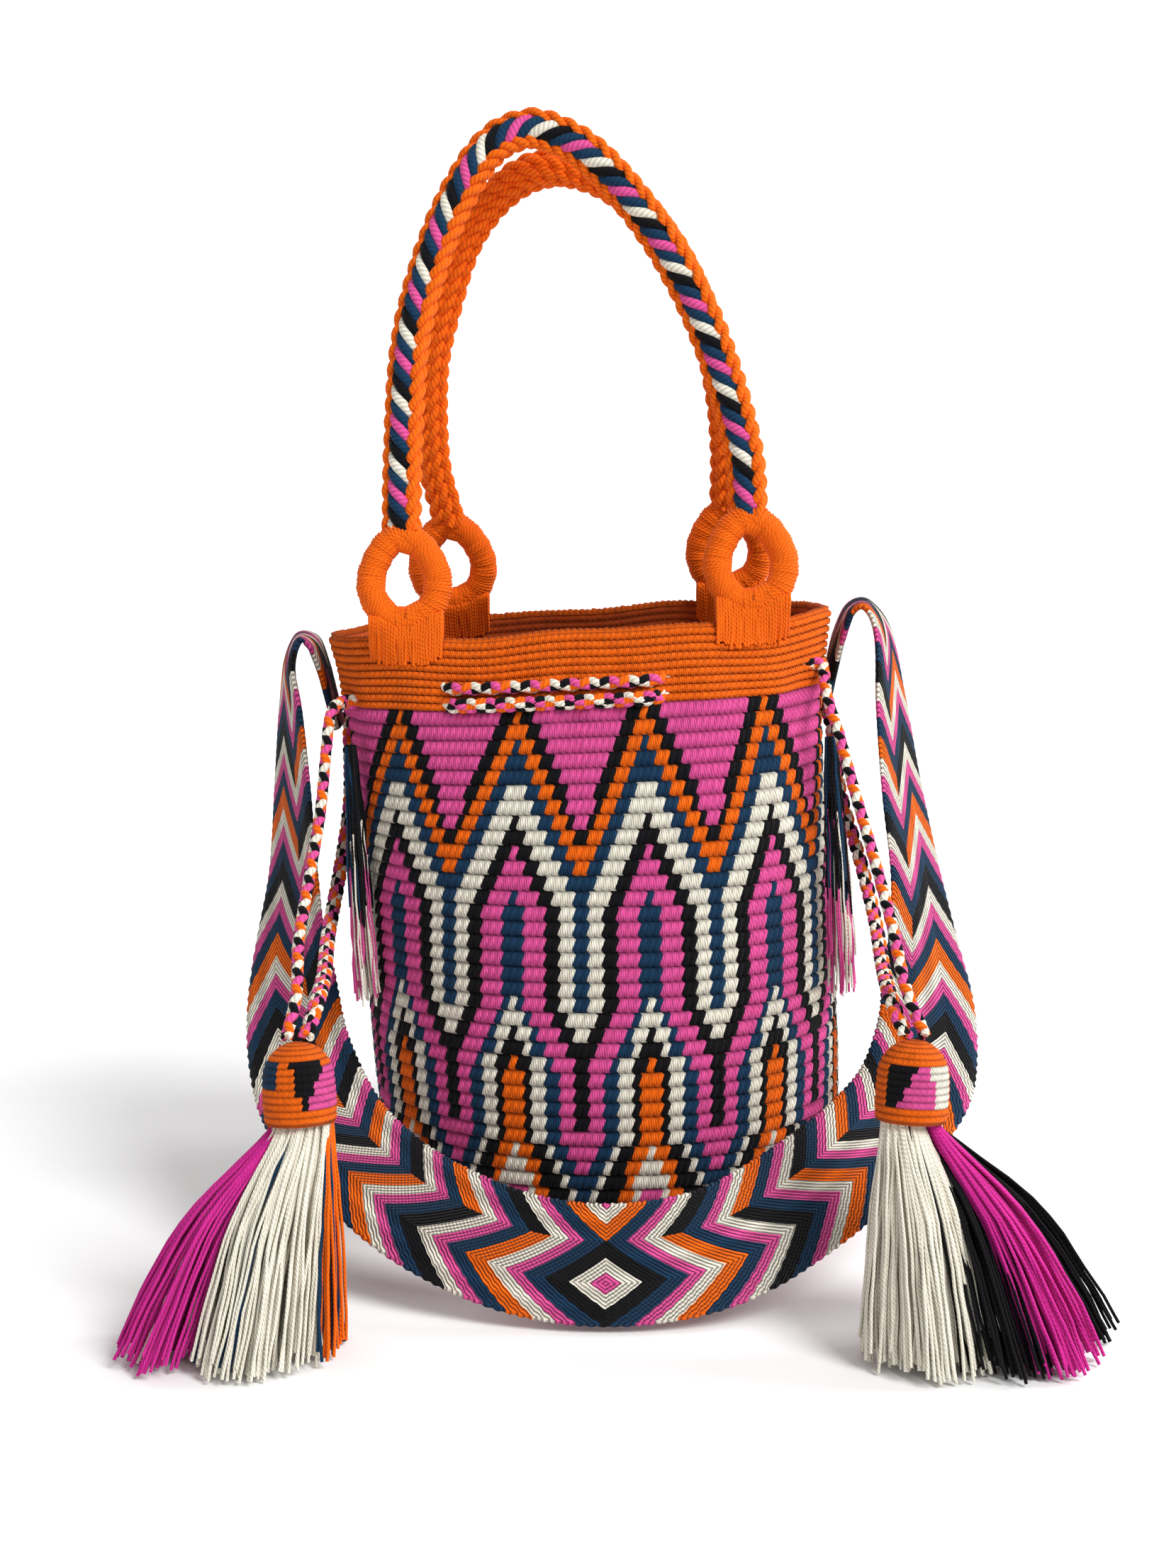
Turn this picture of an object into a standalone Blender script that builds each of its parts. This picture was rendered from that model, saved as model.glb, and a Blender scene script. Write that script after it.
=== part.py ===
"""Crocheted bucket bag with two rope handles, a woven shoulder strap, two drawstrings and two tassels.

Units are metres, +Z is up and -Y is the front. The origin is the centre of the flat crocheted base, on the floor.
"""

import math

import bmesh
import bpy
from mathutils import Matrix, Vector

# Bag: outer half width, half depth and squareness of the section at each height.
RIM_Z = 0.294
WALL = 0.004
BASE_HALF_WIDTH = 0.094
BASE_HALF_DEPTH = 0.088
SECTIONS = [  # height, half width, half depth, exponent of the superellipse
    (0.000, BASE_HALF_WIDTH, BASE_HALF_DEPTH, 2.0),
    (0.006, 0.1020, 0.0965, 2.0),
    (0.020, 0.1085, 0.1030, 2.0),
    (0.045, 0.1125, 0.1065, 2.05),
    (0.090, 0.1140, 0.1065, 2.15),
    (0.150, 0.1135, 0.1010, 2.35),
    (0.210, 0.1125, 0.0900, 2.6),
    (0.250, 0.1130, 0.0790, 2.7),
    (0.275, 0.1165, 0.0715, 2.65),
    (RIM_Z, 0.1205, 0.0640, 2.6),
]
MOUTH_X = -0.018  # the soft bag leans, so that its mouth stands this far to one side of its base
RIM_SLOPE = math.tan(math.radians(3.0))  # one end of the mouth stands higher
SLOPE_FROM_Z = 0.15
AROUND = 44

# Drawstrings, and the slots in the collar that they are threaded through.
CORD_RADIUS = 0.0032
CORD_GAP = 0.0005
LOW_RUN_Z = 0.2645
HIGH_RUN_Z = 0.2722
SLOT_WIDTH = 0.0235
SLOT_MARGIN = 0.0013
FRONT_SLOTS_X = (-0.080, 0.021)
REAR_SLOTS_X = (0.030, -0.078)
SIDE_SLOT_Y = 0.040
CROSSING_LENGTH = 0.0165
FINE_STEP = 0.0033
COARSE_STEP = 0.011

# Handles: each lies in a plane through its hinge line, which runs through the feet of its two loops.
LOOP_RADIUS = 0.0064
LOOP_HALF_WIDTH = 0.016
LOOP_HEIGHT = 0.039
LOOP_FOOT = 0.0088
SLEEVE_GAP = 0.00035
SLEEVE_WALL = 0.0026
SLEEVE_HALF_LENGTH = 0.0040
LEG_INNER = 0.0052
LEG_WALL = 0.0014
LEG_LENGTH = 0.0085
HINGE_ABOVE_RIM = 0.0097
FRONT_HINGE_Y = -0.0522
REAR_HINGE_Y = 0.0548
HANDLE_LEAN = math.radians(10.5)
ROPE_RADIUS = 0.0065
BINDING_GAP = 0.0004
BINDING_WALL = 0.0030
# Each handle's centreline from loop to loop: along the hinge line, and up from it.
FRONT_ARCH = [
    (-0.0805, 0.0462), (-0.0785, 0.077), (-0.0735, 0.124), (-0.0645, 0.158), (-0.0500, 0.192),
    (-0.0320, 0.218), (-0.0150, 0.2265), (-0.0010, 0.224), (0.0160, 0.213), (0.0330, 0.193),
    (0.0495, 0.167), (0.0635, 0.136), (0.0735, 0.103), (0.0800, 0.070), (0.0805, 0.0462),
]
REAR_ARCH = [
    (-0.0635, 0.0462), (-0.0680, 0.074), (-0.0655, 0.118), (-0.0560, 0.151), (-0.0440, 0.180),
    (-0.0260, 0.201), (-0.0050, 0.2105), (0.0180, 0.206), (0.0400, 0.189), (0.0580, 0.162),
    (0.0700, 0.130), (0.0760, 0.098), (0.0775, 0.070), (0.0765, 0.0462),
]

# Shoulder strap: middle of the band, direction to its outer edge, and width, from one sewn end to the other.
STRAP_THICKNESS = 0.0036
STRAP_STATIONS = [
    ((0.1004, 0.0010, 0.2500), (0.0, 1.0, 0.0), 0.034),
    ((0.1046, 0.0010, 0.2720), (0.0, 1.0, 0.0), 0.036),
    ((0.1082, 0.0000, 0.2880), (0.0, 1.0, 0.0), 0.038),
    ((0.1135, -0.0010, 0.3005), (0.05, 1.0, 0.0), 0.041),
    ((0.1215, -0.0025, 0.3020), (0.12, 1.0, 0.0), 0.044),
    ((0.1290, -0.0045, 0.2880), (0.25, 1.0, 0.0), 0.048),
    ((0.1330, -0.0070, 0.2560), (0.36, 0.93, 0.0), 0.052),
    ((0.1385, -0.0100, 0.2150), (0.45, 0.89, 0.0), 0.053),
    ((0.1460, -0.0140, 0.1700), (0.55, 0.83, 0.0), 0.053),
    ((0.1500, -0.0220, 0.1300), (0.75, 0.62, 0.10), 0.053),
    ((0.1495, -0.0430, 0.1010), (0.90, 0.15, -0.35), 0.053),
    ((0.1390, -0.0730, 0.0810), (0.75, -0.45, -0.45), 0.053),
    ((0.1165, -0.1030, 0.0660), (0.45, -0.70, -0.55), 0.053),
    ((0.0850, -0.1340, 0.0500), (0.22, -0.60, -0.76), 0.053),
    ((0.0450, -0.1570, 0.0340), (0.07, -0.45, -0.88), 0.053),
    ((0.0020, -0.1650, 0.0280), (0.0, -0.38, -0.93), 0.053),
    ((-0.0400, -0.1590, 0.0300), (-0.07, -0.45, -0.88), 0.053),
    ((-0.0800, -0.1405, 0.0400), (-0.22, -0.60, -0.76), 0.053),
    ((-0.1120, -0.1120, 0.0530), (-0.45, -0.70, -0.55), 0.053),
    ((-0.1370, -0.0780, 0.0680), (-0.75, -0.45, -0.45), 0.053),
    ((-0.1530, -0.0450, 0.0910), (-0.90, 0.15, -0.35), 0.053),
    ((-0.1590, -0.0200, 0.1280), (-0.75, 0.62, 0.10), 0.053),
    ((-0.1580, -0.0110, 0.1700), (-0.55, 0.83, 0.0), 0.053),
    ((-0.1580, -0.0080, 0.2150), (-0.42, 0.90, 0.0), 0.053),
    ((-0.1585, -0.0060, 0.2520), (-0.30, 0.95, 0.0), 0.051),
    ((-0.1590, -0.0040, 0.2730), (-0.18, 1.0, 0.0), 0.047),
    ((-0.1545, -0.0020, 0.2860), (-0.10, 1.0, 0.0), 0.044),
    ((-0.1475, -0.0010, 0.2840), (0.0, 1.0, 0.0), 0.041),
    ((-0.1430, 0.0000, 0.2730), (0.0, 1.0, 0.0), 0.038),
    ((-0.1400, 0.0010, 0.2610), (0.0, 1.0, 0.0), 0.036),
    ((-0.1358, 0.0010, 0.2430), (0.0, 1.0, 0.0), 0.034),
]
STRAP_STEPS = 3

# Tassels: the crocheted cap is a turned cup, and the fringe hangs out of it in bundles of one colour.
CAP_HEIGHT = 0.034
CAP_RADIUS = 0.0158
CAP_WALL = 0.0026
CAP_HOLLOW = 0.013
BUNDLE_TOP_RADIUS = 0.0040
LEFT_CAP = (-0.1375, -0.1700, 0.0945)
RIGHT_CAP = (0.1245, -0.1720, 0.0960)
LEFT_CAP_LEAN = (math.radians(-7.0), math.radians(-3.0))
RIGHT_CAP_LEAN = (math.radians(-7.0), math.radians(3.0))
LEFT_BUNDLES = {  # place of the top in the cap; centre and half sizes of the cut end on the floor
    "left_tassel_magenta_fringe": ((-0.0086, 0.0010), (-0.1945, -0.1850), (0.0165, 0.0150)),
    "left_tassel_cream_fringe": ((0.0, -0.0020), (-0.1540, -0.1960), (0.0230, 0.0180)),
    "left_tassel_orange_fringe": ((0.0086, 0.0010), (-0.1210, -0.1810), (0.0085, 0.0130)),
}
RIGHT_BUNDLES = {
    "right_tassel_cream_fringe": ((-0.0060, -0.0060), (0.1290, -0.2010), (0.0280, 0.0170)),
    "right_tassel_magenta_fringe": ((0.0082, -0.0020), (0.1820, -0.1880), (0.0200, 0.0150)),
    "right_tassel_black_fringe": ((0.0020, 0.0078), (0.1800, -0.1500), (0.0260, 0.0110)),
}

# Hanging ends of the drawstrings, between the slot they come out of and the cap they go into.
LEFT_FRONT_END = [
    (-0.1340, -0.0520, 0.2560), (-0.1355, -0.0640, 0.2380), (-0.1370, -0.0780, 0.2130),
    (-0.1400, -0.1000, 0.1870), (-0.1420, -0.1280, 0.1640), (-0.1405, -0.1520, 0.1460),
]
LEFT_REAR_END = [
    (-0.1335, 0.0370, 0.2560), (-0.1335, 0.0300, 0.2360), (-0.1320, 0.0120, 0.2050),
    (-0.1345, -0.0130, 0.1760), (-0.1370, -0.0500, 0.1510), (-0.1340, -0.1000, 0.1420),
    (-0.1325, -0.1450, 0.1400),
]
RIGHT_FRONT_END = [
    (0.0975, -0.0540, 0.2640), (0.1020, -0.0660, 0.2480), (0.1080, -0.0800, 0.2240),
    (0.1150, -0.1030, 0.1960), (0.1205, -0.1300, 0.1700), (0.1235, -0.1540, 0.1490),
]
RIGHT_REAR_END = [
    (0.1040, 0.0360, 0.2560), (0.1080, 0.0260, 0.2360), (0.1110, 0.0080, 0.2080),
    (0.1180, -0.0180, 0.1800), (0.1215, -0.0550, 0.1580), (0.1200, -0.1000, 0.1460),
    (0.1180, -0.1450, 0.1430),
]

# Yarn ends of the strap, which hang beside the bag.
TAIL_SIDES = 10
LEFT_TAIL = [(-0.1255, -0.0480, 0.2400, 0.0034), (-0.1235, -0.0520, 0.2080, 0.0056),
             (-0.1210, -0.0550, 0.1600, 0.0062), (-0.1185, -0.0560, 0.1180, 0.0062)]
RIGHT_TAIL = [(0.1000, -0.0450, 0.2440, 0.0034), (0.1020, -0.0500, 0.2080, 0.0056),
              (0.1050, -0.0550, 0.1600, 0.0062), (0.1065, -0.0560, 0.1180, 0.0062)]

COLOURS = {  # colour and roughness of the yarns
    "orange_yarn": ((0.83, 0.19, 0.015), 0.85),
    "magenta_yarn": ((0.62, 0.055, 0.29), 0.85),
    "cream_yarn": ((0.82, 0.78, 0.66), 0.85),
    "black_yarn": ((0.012, 0.012, 0.014), 0.9),
    "mixed_yarn": ((0.30, 0.12, 0.16), 0.85),
    "striped_yarn": ((0.08, 0.09, 0.14), 0.85),
}


def smooth(t):
    """Ease from 0 to 1."""
    t = min(1.0, max(0.0, t))
    return t * t * (3 - 2 * t)


def spline(points, steps):
    """Points of a smooth curve through the given ones, steps of them to each stretch. Extra numbers ride along."""
    rows = [Vector(p) if len(p) <= 4 else p for p in points]
    ends = [2 * rows[0] - rows[1]] + rows + [2 * rows[-1] - rows[-2]]
    found = []
    for a, b, c, d in zip(ends, ends[1:], ends[2:], ends[3:]):
        for k in range(steps):
            t = k / steps
            found.append(0.5 * (2 * b + (c - a) * t + (2 * a - 5 * b + 4 * c - d) * t**2
                                + (3 * b - 3 * c + d - a) * t**3))
    return found + [rows[-1]]


def section(z):
    """Half width, half depth and exponent of the bag at a height."""
    z = min(max(z, 0.0), RIM_Z)
    for low, high in zip(SECTIONS, SECTIONS[1:]):
        if z <= high[0]:
            t = (z - low[0]) / (high[0] - low[0])
            return tuple(a + (b - a) * t for a, b in zip(low[1:], high[1:]))
    return SECTIONS[-1][1:]


def lifted(x, z):
    """Height of a point of the bag once the mouth has its slope."""
    share = smooth((z - SLOPE_FROM_Z) / (RIM_Z - SLOPE_FROM_Z))
    return z + RIM_SLOPE * (x - MOUTH_X) * share


def bag_point(angle, z, out=0.0):
    """Point out metres outside the bag's outer face, at a height and an angle about the bag."""
    half_width, half_depth, power = section(z)
    c, s = math.cos(angle), math.sin(angle)
    x = half_width * math.copysign(abs(c) ** (2 / power), c)
    y = half_depth * math.copysign(abs(s) ** (2 / power), s)
    normal = Vector((math.copysign(abs(x / half_width) ** (power - 1) / half_width, x),
                     math.copysign(abs(y / half_depth) ** (power - 1) / half_depth, y))).normalized()
    x = MOUTH_X * z / RIM_Z + x + normal.x * out
    return Vector((x, y + normal.y * out, lifted(x, z)))


def angle_at(z, x=None, y=None, front=True, right=True):
    """Angle about the bag of the wall's point with this x, or with this y."""
    half_width, half_depth, power = section(z)
    if x is not None:
        share = (x - MOUTH_X * z / RIM_Z) / half_width
        c = math.copysign(abs(share) ** (power / 2), share)
        return math.acos(c) * (-1 if front else 1)
    s = math.copysign((abs(y) / half_depth) ** (power / 2), y)
    return math.asin(s) if right else math.pi - math.asin(s)


def material(name):
    colour, roughness = COLOURS[name]
    found = bpy.data.materials.get(name) or bpy.data.materials.new(name)
    found.use_nodes = True
    shader = found.node_tree.nodes["Principled BSDF"]
    shader.inputs["Base Color"].default_value = (*colour, 1)
    shader.inputs["Roughness"].default_value = roughness
    shader.inputs["Metallic"].default_value = 0.0
    found.diffuse_color = (*colour, 1)
    return found


def place(obj, collection, yarn=None):
    """Puts a new object in its collection and gives it its yarn, or makes it a cutter."""
    collection.objects.link(obj)
    if yarn:
        obj.data.materials.append(material(yarn))
    else:
        obj.hide_render = True
        obj.display_type = "WIRE"
    return obj


def loft(name, rings, caps=True, wrap=True):
    """Mesh object through rings of equally many points, with a fan or a face over each end."""
    bm = bmesh.new()
    rows = [[bm.verts.new(p) for p in ring] for ring in rings]
    count = len(rows[0])
    for low, high in zip(rows, rows[1:]):
        for k in range(count if wrap else count - 1):
            bm.faces.new((low[k], low[(k + 1) % count], high[(k + 1) % count], high[k]))
    if caps:
        bm.faces.new(rows[0][::-1])
        bm.faces.new(rows[-1])
    mesh = bpy.data.meshes.new(name)
    bm.to_mesh(mesh)
    bm.free()
    return bpy.data.objects.new(name, mesh)


def line_curve(name, points, radius, resolution, closed=False, dimensions="3D"):
    """Curve object with a round section through the points."""
    curve = bpy.data.curves.new(name, "CURVE")
    curve.dimensions = dimensions
    if dimensions == "2D":
        curve.fill_mode = "NONE"
    curve.bevel_depth = radius
    curve.bevel_resolution = resolution
    curve.use_fill_caps = True
    add_spline(curve, points, closed)
    return bpy.data.objects.new(name, curve)


def add_spline(curve, points, closed):
    poly = curve.splines.new("POLY")
    poly.points.add(len(points) - 1)
    for slot, p in zip(poly.points, points):
        slot.co = (p[0], p[1], p[2] if len(p) > 2 else 0.0, 1.0)
    poly.use_cyclic_u = closed


def bag_body(collection, cutters):
    """The crocheted bag: a flat round base, a wall and a collar in one piece, open at the top."""
    angles = [2 * math.pi * k / AROUND for k in range(AROUND)]
    heights = [0.0, 0.006, 0.020, 0.045, 0.09, 0.12, 0.15, 0.18, 0.21, 0.25, 0.268, RIM_Z]
    base = [[bag_point(a, 0.0) * share for a in angles] for share in (0.4, 0.8)]
    body = loft("bag_body", base + [[bag_point(a, z) for a in angles] for z in heights], caps=False)
    bm = bmesh.new()
    bm.from_mesh(body.data)
    bm.verts.ensure_lookup_table()
    bm.faces.new(bm.verts[:AROUND][::-1])
    bm.to_mesh(body.data)
    bm.free()
    place(body, collection, "magenta_yarn")
    shell = body.modifiers.new("wall", "SOLIDIFY")
    shell.thickness = WALL
    shell.offset = -1.0
    shell.use_even_offset = True
    for index, (angle, low, high) in enumerate(slots()):
        cutter = slot_cutter(f"slot_cutter_{index}", angle, low, high, cutters)
        cut = body.modifiers.new(cutter.name, "BOOLEAN")
        cut.operation = "DIFFERENCE"
        cut.solver = "EXACT"
        cut.object = cutter


def slots():
    """Angle, lowest and highest cord of each slot in the collar. Both cords pass the front and the rear ones."""
    middle = (LOW_RUN_Z + HIGH_RUN_Z) / 2
    found = [(angle_at(middle, x=x, front=True), LOW_RUN_Z, HIGH_RUN_Z) for x in FRONT_SLOTS_X]
    found += [(angle_at(middle, x=x, front=False), LOW_RUN_Z, HIGH_RUN_Z) for x in REAR_SLOTS_X]
    for side in (-1, 1):
        found.append((angle_at(LOW_RUN_Z, y=side * SIDE_SLOT_Y, right=False), LOW_RUN_Z, LOW_RUN_Z))
        found.append((angle_at(HIGH_RUN_Z, y=side * SIDE_SLOT_Y, right=True), HIGH_RUN_Z, HIGH_RUN_Z))
    return found


def slot_cutter(name, angle, low, high, cutters):
    centre = bag_point(angle, (low + high) / 2, -WALL / 2)
    outward = (bag_point(angle, low, 0.01) - bag_point(angle, low)).normalized()
    bm = bmesh.new()
    height = high - low + 2 * (CORD_RADIUS + SLOT_MARGIN)
    bmesh.ops.create_cube(bm, size=1.0, matrix=Matrix.Diagonal((4 * WALL, SLOT_WIDTH, height, 1)))
    mesh = bpy.data.meshes.new(name)
    bm.to_mesh(mesh)
    bm.free()
    cutter = bpy.data.objects.new(name, mesh)
    cutter.location = centre
    cutter.rotation_euler = (0, 0, math.atan2(outward.y, outward.x))
    return place(cutter, cutters)


def run_around(z, start, end, crossings):
    """Points along the collar from one angle to another. Each crossing takes the cord through the wall, in or out."""
    outside = CORD_RADIUS + CORD_GAP
    inside = -WALL - outside - 0.0011
    way = math.copysign(1.0, end - start)
    angle = start
    found = []
    while (end - angle) * way > 0:
        here = bag_point(angle, z)
        out, sign, nearest = outside, 1, 1.0
        for crossing in crossings:
            gap = (here - bag_point(crossing, z)).length
            nearest = min(nearest, gap)
            past = (angle - crossing) * way > 0
            out += sign * (inside - outside) * smooth(0.5 + (gap if past else -gap) / CROSSING_LENGTH)
            sign = -sign
        found.append(bag_point(angle, z, out))
        pace = (bag_point(angle + 0.001, z, out) - found[-1]).length / 0.001
        angle += way * (FINE_STEP if nearest < CROSSING_LENGTH * 0.7 else COARSE_STEP) / pace
    return found


def drawstring(name, z, right, front_end, rear_end, cap_points, collection):
    """One cord: up from its cap, in at the side, round the collar in and out of the slots, out at the side and down."""
    front = angle_at(z, y=-SIDE_SLOT_Y, right=right)
    rear = angle_at(z, y=SIDE_SLOT_Y, right=right)
    front_slots = [angle_at(z, x=x, front=True) for x in FRONT_SLOTS_X]
    rear_slots = [angle_at(z, x=x, front=False) for x in REAR_SLOTS_X]
    if right:
        rear -= 2 * math.pi
        crossings = [front] + front_slots[::-1] + [a - 2 * math.pi for a in rear_slots[::-1]] + [rear]
    else:
        front -= 2 * math.pi
        crossings = [front] + front_slots + rear_slots + [rear]
    lead = math.copysign(0.11, front - rear)
    around = run_around(z, front + lead, rear - lead, crossings)
    down = spline([Vector(p) for p in [cap_points[0], *front_end[::-1]]] + around[:1], 3)[:-1]
    up = spline(around[-1:] + [Vector(p) for p in [*rear_end, cap_points[1]]], 3)[1:]
    place(line_curve(name, down + around + up, CORD_RADIUS, 2), collection, "mixed_yarn")


def handle_frame(front):
    """Matrix of a handle's plane: X along its hinge line, Y up the handle, Z out of the striped face."""
    side = -1 if front else 1
    hinge = Vector((MOUTH_X, FRONT_HINGE_Y if front else REAR_HINGE_Y, RIM_Z + HINGE_ABOVE_RIM))
    turn = Matrix.Rotation(-math.atan(RIM_SLOPE), 4, "Y") @ Matrix.Rotation(side * HANDLE_LEAN, 4, "X")
    plane = Matrix.Rotation(math.pi / 2, 4, "X") if front else Matrix(
        ((1, 0, 0, 0), (0, 0, 1, 0), (0, 1, 0, 0), (0, 0, 0, 1)))
    return Matrix.Translation(hinge) @ turn @ plane


def loop_outline(middle):
    """Centreline of a handle's loop, a teardrop with a short straight foot on the hinge line."""
    found = [(middle - LOOP_FOOT, 0.0), (middle + LOOP_FOOT, 0.0)]
    for turn in (math.radians(a) for a in range(50, 311, 20)):
        up = LOOP_HEIGHT / 2 * (1 - math.cos(turn))
        narrow = 1 - 0.35 * smooth((up / LOOP_HEIGHT - 0.5) * 2)
        found.append((middle + LOOP_HALF_WIDTH * math.sin(turn) * narrow, up))
    return found


def binding_profile(name, cutters):
    """Section of the orange binding: a channel round the back and the sides of the striped rope."""
    inner = ROPE_RADIUS + BINDING_GAP
    angles = [math.radians(160 + 220 * k / 7) for k in range(8)]
    outline = [((inner + BINDING_WALL) * math.cos(a), (inner + BINDING_WALL) * math.sin(a)) for a in angles]
    outline += [(inner * math.cos(a), inner * math.sin(a)) for a in angles[::-1]]
    curve = bpy.data.curves.new(name, "CURVE")
    curve.dimensions = "2D"
    curve.fill_mode = "NONE"
    add_spline(curve, outline[::-1], closed=True)
    return place(bpy.data.objects.new(name, curve), cutters)


def sleeve(name, foot, tilt, front, collection):
    """Whipping that ties a loop's foot to the rim: a band round the foot with a leg down each face of the collar."""
    inner = LOOP_RADIUS + SLEEVE_GAP
    outer = inner + SLEEVE_WALL
    leg_in, leg_out = LEG_INNER, LEG_INNER + LEG_WALL
    bottom = -HINGE_ABOVE_RIM - LEG_LENGTH
    under = -outer + 0.0004
    top, low = (bag_point(angle_at(z, x=foot.x, front=front), z, -WALL / 2).y - foot.y
                for z in (RIM_Z, RIM_Z - LEG_LENGTH))
    first = math.asin((top + leg_out) / outer) - math.pi / 2
    sweep = 1.5 * math.pi - math.asin((leg_out - top) / outer) - first
    outline = [(outer * math.cos(first + sweep * k / 14), outer * math.sin(first + sweep * k / 14))
               for k in range(15)]
    outline += [(low - leg_out, bottom), (low - leg_in, bottom), (top - leg_in, under), (top + leg_in, under),
                (low + leg_in, bottom), (low + leg_out, bottom)]
    curve = bpy.data.curves.new(name, "CURVE")
    curve.dimensions = "2D"
    curve.fill_mode = "BOTH"
    curve.extrude = SLEEVE_HALF_LENGTH
    add_spline(curve, outline, closed=True)
    add_spline(curve, [(inner * math.cos(2 * math.pi * k / 16), inner * math.sin(2 * math.pi * k / 16))
                       for k in range(16)], closed=True)
    obj = bpy.data.objects.new(name, curve)
    upright = Matrix(((0, 0, 1, 0), (1, 0, 0, 0), (0, 1, 0, 0), (0, 0, 0, 1)))
    obj.matrix_world = Matrix.Translation(foot) @ Matrix.Rotation(-tilt, 4, "Y") @ upright
    return place(obj, collection, "orange_yarn")


def handle(prefix, front, arch, collection, cutters):
    """A handle: striped rope, orange binding, a wrapped loop at each end, and the whippings that hold the loops."""
    frame = handle_frame(front)
    hinge = bpy.data.objects.new(prefix + "_handle_hinge", None)
    hinge.matrix_world = frame
    collection.objects.link(hinge)
    path = spline([(x, y, 0.0) for x, y in arch], 3)
    rope = line_curve(prefix + "_handle_rope", path, ROPE_RADIUS, 2, dimensions="2D")
    binding = line_curve(prefix + "_handle_binding", path, 0.0, 0, dimensions="2D")
    binding.data.bevel_mode = "OBJECT"
    binding.data.bevel_object = binding_profile(prefix + "_binding_section", cutters)
    pieces = [(rope, "striped_yarn"), (binding, "orange_yarn")]
    for side, end in (("left", arch[0][0]), ("right", arch[-1][0])):
        loop = line_curve(f"{prefix}_{side}_loop", loop_outline(end), LOOP_RADIUS, 2, True, "2D")
        pieces.append((loop, "orange_yarn"))
        sleeve(f"{prefix}_{side}_whipping", frame @ Vector((end, 0, 0)), math.atan(RIM_SLOPE), front, collection)
    for piece, yarn in pieces:
        place(piece, collection, yarn)
        piece.parent = hinge


def shoulder_strap(collection):
    """The woven strap: one flat band from one side of the collar, down, round the front and up to the other side."""
    middles = spline([Vector(c) for c, _, _ in STRAP_STATIONS], STRAP_STEPS)
    edges = spline([Vector(w) for _, w, _ in STRAP_STATIONS], STRAP_STEPS)
    widths = [w.x for w in spline([Vector((w, 0, 0)) for _, _, w in STRAP_STATIONS], STRAP_STEPS)]
    rings = []
    for k, (middle, edge, width) in enumerate(zip(middles, edges, widths)):
        along = (middles[min(k + 1, len(middles) - 1)] - middles[max(k - 1, 0)]).normalized()
        edge = (edge - along * edge.dot(along)).normalized()
        face = along.cross(edge) * STRAP_THICKNESS / 2
        half = edge * width / 2
        rings.append([middle - half - face, middle + half - face, middle + half + face, middle - half + face])
    place(loft("shoulder_strap", rings), collection, "mixed_yarn")


def ring_at(centre, radii, turn, count):
    """Ring of points, an ellipse turned by a rotation, about a centre."""
    return [centre + turn @ Vector((radii[0] * math.cos(2 * math.pi * k / count),
                                    radii[1] * math.sin(2 * math.pi * k / count), 0)) for k in range(count)]


def tail(name, stations, collection):
    """Yarn ends of the strap, as one tapered bundle."""
    rings = [ring_at(Vector(s[:3]), (s[3], s[3]), Matrix.Identity(3), TAIL_SIDES)
             for s in spline([Vector(s) for s in stations], 3)][::-1]
    place(loft(name, rings), collection, "black_yarn")


def cap_frame(foot, lean):
    return Matrix.Translation(foot) @ Matrix.Rotation(lean[0], 4, "X") @ Matrix.Rotation(lean[1], 4, "Y")


def tassel_cap(name, frame, collection):
    """Crocheted cap of a tassel: a domed cup, hollow underneath where the fringe comes out."""
    outer = [(CAP_RADIUS * 0.97, 0.0), (CAP_RADIUS, 0.008), (CAP_RADIUS * 0.98, 0.018)]
    dome = [(CAP_RADIUS * 0.98 * math.cos(math.radians(a)), 0.018 + 0.016 * math.sin(math.radians(a)))
            for a in (20, 40, 58, 74)]
    hollow = [(0.0, CAP_HOLLOW), (CAP_RADIUS - CAP_WALL, CAP_HOLLOW), (CAP_RADIUS - CAP_WALL, 0.0)]
    profile = [(0.0, CAP_HEIGHT)] + dome[::-1] + outer[::-1] + hollow[::-1]
    mesh = bpy.data.meshes.new(name)
    mesh.from_pydata([(x, 0, z) for x, z in profile], [(k, k + 1) for k in range(len(profile) - 1)], [])
    cap = bpy.data.objects.new(name, mesh)
    turned = cap.modifiers.new("turned", "SCREW")
    turned.steps = turned.render_steps = 24
    turned.use_merge_vertices = True
    turned.merge_threshold = 0.00005
    turned.use_normal_calculate = False
    cap.matrix_world = frame
    return place(cap, collection, "orange_yarn")


def fringe_bundle(name, frame, top, foot, half_sizes, yarn, collection):
    """Bundle of fringe of one colour, from inside the cap to its cut end, which spreads on the floor."""
    start = frame @ Vector((top[0], top[1], CAP_HOLLOW - 0.001))
    mouth = frame @ Vector((top[0], top[1], -0.004))
    lean = frame.to_3x3()
    rings = []
    for share in (1.0, 0.72, 0.44, 0.18):
        centre = mouth.lerp(Vector((*foot, 0.0)), share)
        radii = [BUNDLE_TOP_RADIUS + (half - BUNDLE_TOP_RADIUS) * share**1.15 for half in half_sizes]
        rings.append(ring_at(centre, radii, Matrix.Identity(3), 16))
    rings.append(ring_at(mouth, [BUNDLE_TOP_RADIUS] * 2, lean, 16))
    rings.append(ring_at(start, [BUNDLE_TOP_RADIUS] * 2, lean, 16))
    place(loft(name, rings), collection, yarn)


def tassel(prefix, foot, lean, bundles, collection):
    """A cap and its fringe. Gives the two places on the cap's top where the cord goes in."""
    frame = cap_frame(foot, lean)
    tassel_cap(prefix + "_tassel_cap", frame, collection)
    for name, (top, end, sizes) in bundles.items():
        yarn = next(y for y in COLOURS if y.split("_")[0] in name)
        fringe_bundle(name, frame, top, end, sizes, yarn, collection)
    return [frame @ Vector((x, 0, CAP_HEIGHT + 0.0028)) for x in (-0.0042, 0.0042)]


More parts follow.
